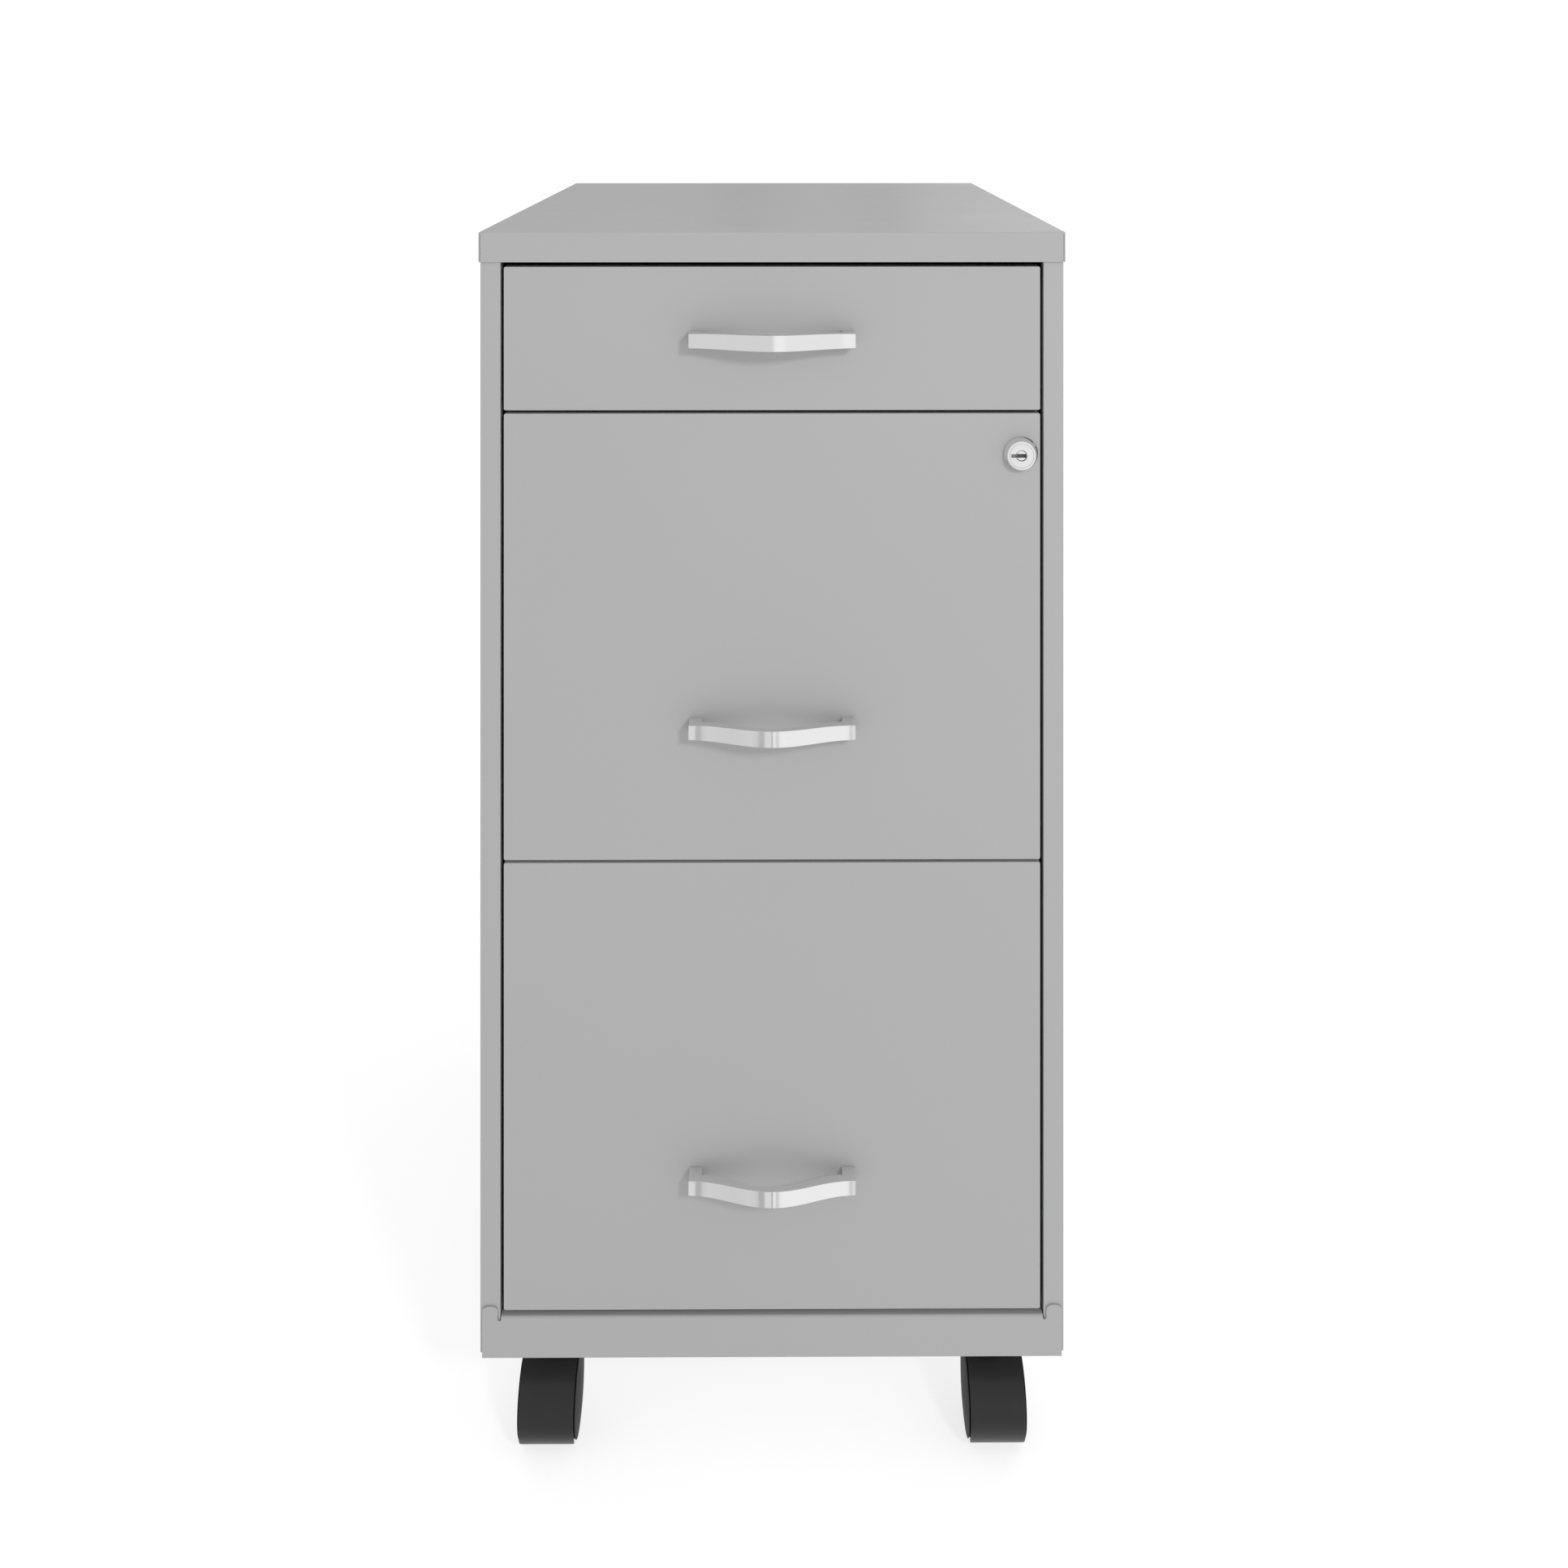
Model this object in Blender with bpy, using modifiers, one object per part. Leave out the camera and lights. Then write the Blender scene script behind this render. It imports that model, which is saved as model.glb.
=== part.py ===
"""Rolling pedestal cabinet: three drawers in a folded sheet-steel case on four hooded twin-wheel casters.

Metres, +Z up. The floor is z = 0, the drawers open towards -Y and +X is the cabinet's right side as
seen from the front. The origin is on the floor, under the middle of the closed cabinet with its handles.
"""
import math

import bmesh
import bpy
from mathutils import Matrix, Vector

MM = 0.001

# Driving sizes of the cabinet.
CAP_WIDTH = 361.95 * MM
CAP_DEPTH = 457.2 * MM
CAP_TOP = 763.6 * MM
CAP_LIP = 18.5 * MM
SHEET = 0.8 * MM
GAP = 0.25 * MM
HANDLE_REACH = 22.6 * MM
OVERLAP = 1 * MM  # how far a shape runs into the one it is joined to or cut from

# The case: side panels with front stiles, back, base and bottom rail.
CAP_OVERHANG = SHEET + GAP
FACE_Y = (HANDLE_REACH + CAP_OVERHANG - CAP_DEPTH) / 2
CAP_BACK_Y = FACE_Y - CAP_OVERHANG + CAP_DEPTH
BACK_Y = CAP_BACK_Y - CAP_OVERHANG
SIDE_X = CAP_WIDTH / 2 - CAP_OVERHANG
OPENING_X = 167.5 * MM
STILE_RETURN = 10 * MM
SIDE_BOTTOM = 73.1 * MM
SIDE_TOP = CAP_TOP - SHEET - GAP
BACK_FLANGE = 12 * MM
BASE_BOTTOM = 71.05 * MM
BASE_FLANGE = 15 * MM
RAIL_X = 178.6 * MM
RAIL_BOTTOM = 70.0 * MM
RAIL_TOP = 95.6 * MM
RAIL_TOP_FLANGE = 12 * MM
RAIL_BOTTOM_FLANGE = 16 * MM
EAR_WIDTH = 9.5 * MM
EAR_TOP = 102.0 * MM
EAR_RISE = 2.6 * MM
NOTCH_WIDTH = 2.1 * MM
NOTCH_BOTTOM = 93.0 * MM
CAP_FOLD = 1.0 * MM

# The drawers, named from the top: bottom and top of the front, height of the body, height of the handle.
DRAWERS = {
    "top_drawer": (653.6 * MM, 742.2 * MM, 62 * MM, 698.4 * MM),
    "middle_drawer": (376.2 * MM, 651.6 * MM, 232 * MM, 460.0 * MM),
    "bottom_drawer": (98.9 * MM, 374.5 * MM, 232 * MM, 182.8 * MM),
}
FRONT_X = 165.5 * MM
FRONT_DEPTH = 14 * MM
FRONT_CORNER = 1.4 * MM
FRONT_FOLD = 0.9 * MM
BODY_X = 157 * MM
BODY_DEPTH = 430 * MM
BODY_RISE = 6 * MM
BODY_RIM = 5 * MM

# The slides: a channel on each side wall and a runner on each side of a drawer.
SLIDE_RISE = 24 * MM
SLIDE_SHEET = 1.2 * MM
SLIDE_FRONT = 25 * MM
CHANNEL_LENGTH = 410 * MM
CHANNEL_HALF = 15 * MM
CHANNEL_REACH = 18 * MM
RUNNER_LENGTH = 395 * MM
RUNNER_CLEARANCE = 0.4 * MM
RUNNER_X = 167.0 * MM

# The handles: a flat bar bowed in plan.
HANDLE_HALF = 50.9 * MM
HANDLE_HEIGHT = 9.8 * MM
HANDLE_END_REACH = 12.8 * MM
HANDLE_BOW_HALF = 50 * MM
FOOT_WIDTH = 8 * MM
FINGER_END_REACH = 7.4 * MM
FINGER_REACH = 18.6 * MM
BOW_STEPS = 10
FINGER_STEPS = 8
SCREW_X = 47 * MM
SCREW_RADIUS = 1.7 * MM
SCREW_HOLE_RADIUS = 1.95 * MM
SCREW_HEAD_RADIUS = 3.6 * MM
SCREW_HEAD = 2.0 * MM
SCREW_HEAD_EDGE = 1.2 * MM
SCREW_CROWN_RADIUS = 2.2 * MM
SCREW_GRIP = 6 * MM
SCREW_STEPS = 16
DRILL_REACH = 4 * MM
BORE_CLEARANCE = 0.35 * MM

# The cam lock on the middle drawer.
LOCK_X = 153.1 * MM
LOCK_Z = 626.7 * MM
LOCK_REACH = 6.0 * MM
COLLAR_RADIUS = 10.25 * MM
COLLAR_EDGE = 1.2 * MM
LOCK_FACE_RADIUS = 9.0 * MM
LOCK_FACE_EDGE = 0.6 * MM
BARREL_RADIUS = 8.0 * MM
BARREL_LENGTH = 20 * MM
LOCK_HOLE_RADIUS = 10.4 * MM
LOCK_HOLE_SHIFT = 0.9 * MM
NUT_FLATS = 19.5 * MM
NUT_THICKNESS = 3 * MM
PLUG_RADIUS = 3.1 * MM
PLUG_RECESS = 0.7 * MM
PLUG_TAIL = 4.2 * MM
KEYWAY_HALF_HEIGHT = 1.04 * MM
KEYWAY_HALF_WIDTH = 2.54 * MM
KEYWAY_DEPTH = 8 * MM
GROOVE_LENGTH = 6.2 * MM
GROOVE_HALF_HEIGHT = 1.3 * MM
GROOVE_DEPTH = 1.5 * MM
CAM_LENGTH = 23 * MM
CAM_HALF_WIDTH = 6.5 * MM
CAM_CORNER = 2 * MM
CAM_THICKNESS = 2 * MM
CAM_CLEARANCE = 1 * MM
CAM_SCREW_RADIUS = 1.5 * MM
CAM_SCREW_LENGTH = 5 * MM
CAM_SCREW_HEAD_RADIUS = 5 * MM
CAM_SCREW_HEAD_EDGE = 1.4 * MM
CAM_SCREW_HEAD = 2.2 * MM
CAM_SCREW_CROWN_RADIUS = 3 * MM
PILOT_DEPTH = 6 * MM

# The casters: a mount under the base, and a hood with two wheels that swivels on it.
CASTER_X = 140.5 * MM
FRONT_SWIVEL_Y = FACE_Y + 50 * MM
REAR_SWIVEL_Y = BACK_Y - 45 * MM
TRAIL = 20 * MM
WHEEL_RADIUS = 23.5 * MM
WHEEL_INNER_X = 3.5 * MM
WHEEL_OUTER_X = 19.4 * MM
WHEEL_DOME = 2.0 * MM
WHEEL_DOME_STEPS = 4
WHEEL_CAP_STEP = 0.4 * MM
WHEEL_EDGE = 1.5 * MM
WHEEL_BORE_END = 17.8 * MM
HOOD_RADIUS = 25.3 * MM
HOOD_INNER_RADIUS = 23.9 * MM
HOOD_HALF_WIDTH = 17 * MM
HOOD_LIP_ANGLE = math.radians(-46)
HOOD_BACK_ANGLE = math.radians(188)
HOOD_STEPS = 16
WEB_WIDTH = 6 * MM
WEB_FRONT_ANGLE = math.radians(-40)
WEB_TOE_ANGLE = math.radians(8)
WEB_BACK_DROP = 6 * MM
HUB_RADIUS = 8 * MM
BOSS_RADIUS = 8 * MM
BOSS_BOTTOM = 44.5 * MM
BOSS_TOP = 62 * MM
STEM_RADIUS = 5.5 * MM
STEM_BOTTOM = 47 * MM
CUP_RADIUS = 13 * MM
CUP_BOTTOM = 63.5 * MM
CUP_EDGE = 1 * MM
PLATE_SIZE = (60 * MM, 42 * MM, 2.5 * MM)
AXLE_RADIUS = 3 * MM
AXLE_LENGTH = 35 * MM

ROUND = 20
WHEEL_STEPS = 24
SHARP_ANGLE = math.radians(35)
ACROSS_X = Matrix(((0, 0, 1, 0), (1, 0, 0, 0), (0, 1, 0, 0), (0, 0, 0, 1)))
ACROSS_Y = Matrix.Rotation(math.pi / 2, 4, "X")

for old in list(bpy.data.objects):
    bpy.data.objects.remove(old)
cabinet = bpy.data.collections.new("rolling_pedestal_cabinet")
cutters = bpy.data.collections.new("cutters")
for collection in (cabinet, cutters):
    bpy.context.scene.collection.children.link(collection)


def make_material(name, colour, metallic, roughness):
    material = bpy.data.materials.new(name)
    material.use_nodes = True
    shader = material.node_tree.nodes["Principled BSDF"]
    shader.inputs["Base Color"].default_value = (*colour, 1)
    shader.inputs["Metallic"].default_value = metallic
    shader.inputs["Roughness"].default_value = roughness
    return material


PAINT = ("paint", (0.44, 0.44, 0.445), 0.0, 0.42)
ZINC = ("zinc", (0.55, 0.56, 0.58), 1.0, 0.38)
CHROME = ("chrome", (0.78, 0.78, 0.79), 1.0, 0.15)
STEEL = ("steel", (0.50, 0.50, 0.52), 1.0, 0.3)
NYLON = ("nylon", (0.022, 0.022, 0.024), 0.0, 0.35)


def add_object(name, mesh, finish, parent=None):
    """Puts a mesh in the cabinet with a material of its own, on its parent empty."""
    piece = bpy.data.objects.new(name, mesh)
    cabinet.objects.link(piece)
    label, colour, metallic, roughness = finish
    mesh.materials.clear()
    mesh.materials.append(make_material(f"{name}_{label}", colour, metallic, roughness))
    if parent:
        piece.parent = parent
        piece.matrix_parent_inverse = parent.matrix_world.inverted()
    return piece


def pivot(name, location, parent=None):
    """An empty on a joint's axis, which carries the pieces that move with the joint."""
    empty = bpy.data.objects.new(name, None)
    empty.location = location
    cabinet.objects.link(empty)
    bpy.context.view_layer.update()
    if parent:
        empty.parent = parent
        empty.matrix_parent_inverse = parent.matrix_world.inverted()
        bpy.context.view_layer.update()
    return empty


def to_mesh(name, bm):
    mesh = bpy.data.meshes.new(name)
    bm.to_mesh(mesh)
    bm.free()
    return mesh


def box_shape(low, high):
    bm = bmesh.new()
    size = Vector(high) - Vector(low)
    middle = (Vector(high) + Vector(low)) / 2
    bmesh.ops.create_cube(bm, size=1, matrix=Matrix.Translation(middle) @ Matrix.Diagonal((*size, 1)))
    return bm


def block(name, low, high, finish, parent=None):
    return add_object(name, to_mesh(name, box_shape(low, high)), finish, parent)


def open_box(name, low, high, open_axis, open_end, finish, parent=None, corner=0, fold=0, rims=0):
    """A sheet box with one side open. Its corners beside the opening are cut off flat, the folds round the
    side opposite are rounded, and rims turn outwards along the left and right edges of the opening."""
    bm = box_shape(low, high)
    opened = [f for f in bm.faces if f.normal[open_axis] * open_end > 0.5]
    bmesh.ops.delete(bm, geom=opened, context="FACES_ONLY")
    if corner:
        posts = [e for e in bm.edges if abs((e.verts[0].co - e.verts[1].co)[open_axis]) > corner]
        bmesh.ops.bevel(bm, geom=posts, offset=corner, segments=1, affect="EDGES")
    if fold:
        closed = [f for f in bm.faces if f.normal[open_axis] * open_end < -0.5]
        folds = {e for f in closed for e in f.edges}
        bmesh.ops.bevel(bm, geom=list(folds), offset=fold, segments=2, profile=0.5, affect="EDGES")
    if rims:
        edges = [e for e in bm.edges if e.is_boundary and abs((e.verts[0].co - e.verts[1].co).y) > rims]
        for edge in edges:
            grown = bmesh.ops.extrude_edge_only(bm, edges=[edge])["geom"]
            outwards = math.copysign(rims, edge.verts[0].co.x)
            bmesh.ops.translate(bm, verts=[v for v in grown if isinstance(v, bmesh.types.BMVert)],
                                vec=(outwards, 0, 0))
    piece = add_object(name, to_mesh(name, bm), finish, parent)
    thicken(piece, SHEET, -1)
    return piece


def thicken(piece, thickness, side):
    solidify = piece.modifiers.new("thickness", "SOLIDIFY")
    solidify.thickness = thickness
    solidify.offset = side
    solidify.use_even_offset = True


def folded_sheet(name, path, low, high, placing, thickness, side, finish, parent=None):
    """A sheet folded along the path in its local XY and drawn from low to high along its local Z."""
    bm = bmesh.new()
    verts = [bm.verts.new((x, y, low)) for x, y in path]
    edges = [bm.edges.new(pair) for pair in zip(verts, verts[1:])]
    grown = bmesh.ops.extrude_edge_only(bm, edges=edges)["geom"]
    bmesh.ops.translate(bm, verts=[v for v in grown if isinstance(v, bmesh.types.BMVert)],
                        vec=(0, 0, high - low))
    bm.transform(placing)
    piece = add_object(name, to_mesh(name, bm), finish, parent)
    thicken(piece, thickness, side)
    return piece


def plate(name, outlines, thickness, placing, finish, parent=None):
    """A flat piece with closed outlines in its local XY, the first its edge and the others its holes."""
    curve = bpy.data.curves.new(name, "CURVE")
    curve.dimensions = "2D"
    curve.fill_mode = "BOTH"
    curve.extrude = thickness / 2
    for outline in outlines:
        spline = curve.splines.new("POLY")
        spline.points.add(len(outline) - 1)
        for point, (x, y) in zip(spline.points, outline):
            point.co = (x, y, 0, 1)
        spline.use_cyclic_u = True
    drawn = bpy.data.objects.new(name, curve)
    cabinet.objects.link(drawn)
    bpy.context.view_layer.update()
    evaluated = drawn.evaluated_get(bpy.context.evaluated_depsgraph_get())
    mesh = bpy.data.meshes.new_from_object(evaluated)
    bpy.data.objects.remove(drawn)
    bm = bmesh.new()
    bm.from_mesh(mesh)
    bmesh.ops.remove_doubles(bm, verts=bm.verts, dist=0.001 * MM)
    bm.transform(placing)
    bmesh.ops.recalc_face_normals(bm, faces=bm.faces)
    return add_object(name, to_mesh(name, bm), finish, parent)


def turned(name, profile, closed, placing, finish, parent=None, steps=ROUND):
    """A piece turned about its local Z. The profile's (radius, height) points run down its outer side."""
    bm = bmesh.new()
    verts = [bm.verts.new((radius, 0, height)) for radius, height in profile]
    for pair in zip(verts, verts[1:] + verts[:1] if closed else verts[1:]):
        bm.edges.new(pair)
    piece = add_object(name, to_mesh(name, bm), finish)
    piece.matrix_world = placing
    bpy.context.view_layer.update()
    if parent:
        piece.parent = parent
        piece.matrix_parent_inverse = parent.matrix_world.inverted()
    screw = piece.modifiers.new("turn", "SCREW")
    screw.steps = steps
    screw.render_steps = steps
    screw.use_merge_vertices = True
    screw.merge_threshold = 0.00001
    screw.use_smooth_shade = True
    return piece


def rod_profile(radius, low, high):
    return [(0, high), (radius, high), (radius, low), (0, low)]


def arc(centre, radius, start, end, steps):
    """Points of an arc, with the angles in radians from the local X axis."""
    angles = [start + (end - start) * i / steps for i in range(steps + 1)]
    return [(centre[0] + radius * math.cos(a), centre[1] + radius * math.sin(a)) for a in angles]


def boolean(piece, tool, operation):
    cabinet.objects.unlink(tool)
    cutters.objects.link(tool)
    tool.hide_render = True
    tool.display_type = "WIRE"
    change = piece.modifiers.new(tool.name, "BOOLEAN")
    change.operation = operation
    change.solver = "EXACT"
    change.object = tool


def cut(piece, tool):
    boolean(piece, tool, "DIFFERENCE")


def join(piece, tool):
    boolean(piece, tool, "UNION")


def drill(piece, radius, centre, depth, placing=ACROSS_Y):
    """Cuts a round hole, depth long each way from centre, along the placing's local Z."""
    tool = turned(f"{piece.name}_drill", rod_profile(radius, -depth, depth), False,
                  Matrix.Translation(centre) @ placing, piece_finish(piece), steps=ROUND)
    cut(piece, tool)


def piece_finish(piece):
    shader = piece.data.materials[0].node_tree.nodes["Principled BSDF"]
    colour = tuple(shader.inputs["Base Color"].default_value)[:3]
    return "cut", colour, shader.inputs["Metallic"].default_value, shader.inputs["Roughness"].default_value


def build_case():
    open_box("top_cap", (-CAP_WIDTH / 2, FACE_Y - CAP_OVERHANG, CAP_TOP - CAP_LIP),
             (CAP_WIDTH / 2, CAP_BACK_Y, CAP_TOP), 2, -1, PAINT, fold=CAP_FOLD)
    for side, sign in (("left", -1), ("right", 1)):
        path = [(sign * OPENING_X, FACE_Y + STILE_RETURN), (sign * OPENING_X, FACE_Y),
                (sign * SIDE_X, FACE_Y), (sign * SIDE_X, BACK_Y)]
        folded_sheet(f"{side}_side_panel", path, SIDE_BOTTOM, SIDE_TOP, Matrix(), SHEET, sign, PAINT)
    back_x = SIDE_X - SHEET - GAP
    flange_y = BACK_Y - BACK_FLANGE
    path = [(-back_x, flange_y), (-back_x, BACK_Y), (back_x, BACK_Y), (back_x, flange_y)]
    folded_sheet("back_panel", path, SIDE_BOTTOM, SIDE_TOP, Matrix(), SHEET, -1, PAINT)
    base_x = back_x - SHEET - GAP
    base_top = BASE_BOTTOM + BASE_FLANGE
    path = [(-base_x, base_top), (-base_x, BASE_BOTTOM), (base_x, BASE_BOTTOM), (base_x, base_top)]
    base_front = FACE_Y + STILE_RETURN + GAP
    base_back = BACK_Y - SHEET - GAP
    folded_sheet("base_pan", path, -base_back, -base_front, ACROSS_Y, SHEET, 1, PAINT)
    build_bottom_rail()


def build_bottom_rail():
    """The bottom rail laps over the stiles. Its rounded ears stand clear of the folded top edge."""
    ear_radius = EAR_WIDTH / 2
    ear_x = RAIL_X - ear_radius
    ear_spring = EAR_TOP - EAR_RISE
    notch_radius = NOTCH_WIDTH / 2
    notch_x = RAIL_X - EAR_WIDTH - notch_radius
    ear = [(ear_x + ear_radius * math.cos(a), ear_spring + EAR_RISE * math.sin(a))
           for a in (math.pi * i / 8 for i in range(9))]
    notch = arc((notch_x, NOTCH_BOTTOM + notch_radius), notch_radius, 0, -math.pi, 6)
    right = [(RAIL_X, RAIL_BOTTOM), *ear, *notch, (notch_x - notch_radius, RAIL_TOP)]
    left = [(-x, z) for x, z in reversed(right)]
    middle_y = FACE_Y - CAP_OVERHANG + SHEET / 2
    rail = plate("front_bottom_rail", [right + left], SHEET, Matrix.Translation((0, middle_y, 0)) @ ACROSS_Y,
                 PAINT)
    flange_x = notch_x - notch_radius
    top = block("rail_top_flange", (-flange_x, middle_y, RAIL_TOP - SHEET),
                (flange_x, FACE_Y + RAIL_TOP_FLANGE, RAIL_TOP), PAINT)
    bottom = block("rail_bottom_flange", (-RAIL_X, middle_y, RAIL_BOTTOM),
                   (RAIL_X, FACE_Y + RAIL_BOTTOM_FLANGE, RAIL_BOTTOM + SHEET), PAINT)
    join(rail, top)
    join(rail, bottom)


def build_slides(drawer, slide_z, parent):
    """The fixed channels on the side walls and the runners that slide in them on the drawer's sides."""
    front = FACE_Y + SLIDE_FRONT
    channel_x = SIDE_X - SHEET - GAP
    runner_half = CHANNEL_HALF - SLIDE_SHEET - RUNNER_CLEARANCE
    for side, sign in (("left", -1), ("right", 1)):
        wall, lip = sign * channel_x, sign * (channel_x - CHANNEL_REACH)
        path = [(lip, slide_z - CHANNEL_HALF), (wall, slide_z - CHANNEL_HALF),
                (wall, slide_z + CHANNEL_HALF), (lip, slide_z + CHANNEL_HALF)]
        folded_sheet(f"{drawer}_{side}_channel", path, -front - CHANNEL_LENGTH, -front, ACROSS_Y,
                     SLIDE_SHEET, sign, ZINC)
        wall, lip = sign * (BODY_X + GAP), sign * RUNNER_X
        path = [(lip, slide_z - runner_half), (wall, slide_z - runner_half),
                (wall, slide_z + runner_half), (lip, slide_z + runner_half)]
        folded_sheet(f"{drawer}_{side}_runner", path, -front - RUNNER_LENGTH, -front, ACROSS_Y,
                     SLIDE_SHEET, -sign, ZINC, parent)


def bow(x, half, end_reach, full_reach):
    """How far out a contour of the handle stands at x: full in the middle, and level towards its ends."""
    swell = 0.5 + 0.5 * math.cos(math.pi * min(abs(x) / half, 1))
    return end_reach + (full_reach - end_reach) * swell


def build_handle(drawer, handle_z, parent):
    """A flat bar with two feet on the front. Its outline in plan is drawn with +Y towards the cabinet."""
    finger_half = HANDLE_HALF - FOOT_WIDTH
    outer = [HANDLE_HALF * i / BOW_STEPS for i in range(-BOW_STEPS, BOW_STEPS + 1)]
    inner = [finger_half * i / FINGER_STEPS for i in range(FINGER_STEPS, -FINGER_STEPS - 1, -1)]
    seat_y = FACE_Y - GAP
    outline = [(x, FACE_Y - bow(x, HANDLE_BOW_HALF, HANDLE_END_REACH, HANDLE_REACH)) for x in outer]
    outline += [(HANDLE_HALF, seat_y), (finger_half, seat_y)]
    outline += [(x, FACE_Y - bow(x, finger_half, FINGER_END_REACH, FINGER_REACH)) for x in inner]
    outline += [(-finger_half, seat_y), (-HANDLE_HALF, seat_y)]
    handle = plate(f"{drawer}_handle", [outline], HANDLE_HEIGHT, Matrix.Translation((0, 0, handle_z)),
                   CHROME, parent)
    for sign in (-1, 1):
        drill(handle, SCREW_HOLE_RADIUS, (sign * SCREW_X, FACE_Y, handle_z), SCREW_GRIP + GAP)
    return handle


def build_screw(name, x, z, parent):
    """A pan-head screw from inside the drawer, through the body and the front into the handle's foot."""
    seat = 2 * SHEET + 2 * GAP + GAP
    profile = [(0, SCREW_GRIP), (SCREW_RADIUS, SCREW_GRIP), (SCREW_RADIUS, -seat),
               (SCREW_HEAD_RADIUS, -seat), (SCREW_HEAD_RADIUS, -seat - SCREW_HEAD_EDGE),
               (SCREW_CROWN_RADIUS, -seat - SCREW_HEAD), (0, -seat - SCREW_HEAD)]
    turned(name, profile, False, Matrix.Translation((x, FACE_Y, z)) @ ACROSS_Y, STEEL, parent,
           steps=SCREW_STEPS)


def build_drawer(drawer, front_bottom, front_top, body_height, handle_z):
    parent = pivot(f"{drawer}_slide", (0, FACE_Y, front_bottom))
    front = open_box(f"{drawer}_front", (-FRONT_X, FACE_Y, front_bottom),
                     (FRONT_X, FACE_Y + FRONT_DEPTH, front_top), 1, 1, PAINT, parent,
                     corner=FRONT_CORNER, fold=FRONT_FOLD)
    body_bottom = front_bottom + BODY_RISE
    body_front = FACE_Y + SHEET + GAP
    body = open_box(f"{drawer}_body", (-BODY_X, body_front, body_bottom),
                    (BODY_X, body_front + BODY_DEPTH, body_bottom + body_height), 2, 1, PAINT, parent,
                    rims=BODY_RIM)
    for sign in (-1, 1):
        for piece in (front, body):
            drill(piece, SCREW_HOLE_RADIUS, (sign * SCREW_X, FACE_Y, handle_z), DRILL_REACH)
    build_handle(drawer, handle_z, parent)
    build_screw(f"{drawer}_left_screw", -SCREW_X, handle_z, parent)
    build_screw(f"{drawer}_right_screw", SCREW_X, handle_z, parent)
    build_slides(drawer, body_bottom + SLIDE_RISE - BODY_RISE, parent)
    return parent, front


def build_lock(parent, front):
    """The cam lock: the housing and its nut stay on the drawer front, and the plug turns with its cam."""
    axis = (LOCK_X, FACE_Y, LOCK_Z)
    placing = Matrix.Translation(axis) @ ACROSS_Y
    drill(front, LOCK_HOLE_RADIUS, (LOCK_X + LOCK_HOLE_SHIFT, FACE_Y, LOCK_Z), DRILL_REACH)
    bore = PLUG_RADIUS + BORE_CLEARANCE
    profile = [(bore, LOCK_REACH), (LOCK_FACE_RADIUS - LOCK_FACE_EDGE, LOCK_REACH),
               (LOCK_FACE_RADIUS, LOCK_REACH - LOCK_FACE_EDGE), (COLLAR_RADIUS, COLLAR_EDGE),
               (COLLAR_RADIUS, GAP), (BARREL_RADIUS, GAP), (BARREL_RADIUS, -BARREL_LENGTH),
               (bore, -BARREL_LENGTH)]
    housing = turned("lock_housing", profile, True, placing, CHROME, parent)
    face_y = FACE_Y - LOCK_REACH
    groove = block("keyway_groove", (LOCK_X - GROOVE_LENGTH, face_y - OVERLAP, LOCK_Z - GROOVE_HALF_HEIGHT),
                   (LOCK_X, face_y + GROOVE_DEPTH, LOCK_Z + GROOVE_HALF_HEIGHT), CHROME)
    cut(housing, groove)
    nut_front = FACE_Y + SHEET + GAP
    hexagon = arc((0, 0), NUT_FLATS / math.sqrt(3), math.pi / 6, math.pi * 11 / 6, 5)
    hole = arc((0, 0), BARREL_RADIUS + BORE_CLEARANCE, 0, 2 * math.pi * (ROUND - 1) / ROUND, ROUND - 1)
    nut_middle = Matrix.Translation((LOCK_X, nut_front + NUT_THICKNESS / 2, LOCK_Z)) @ ACROSS_Y
    plate("lock_nut", [hexagon, hole], NUT_THICKNESS, nut_middle, ZINC, parent)
    build_lock_core(placing, bore, pivot("lock_pivot", axis, parent))


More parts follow.
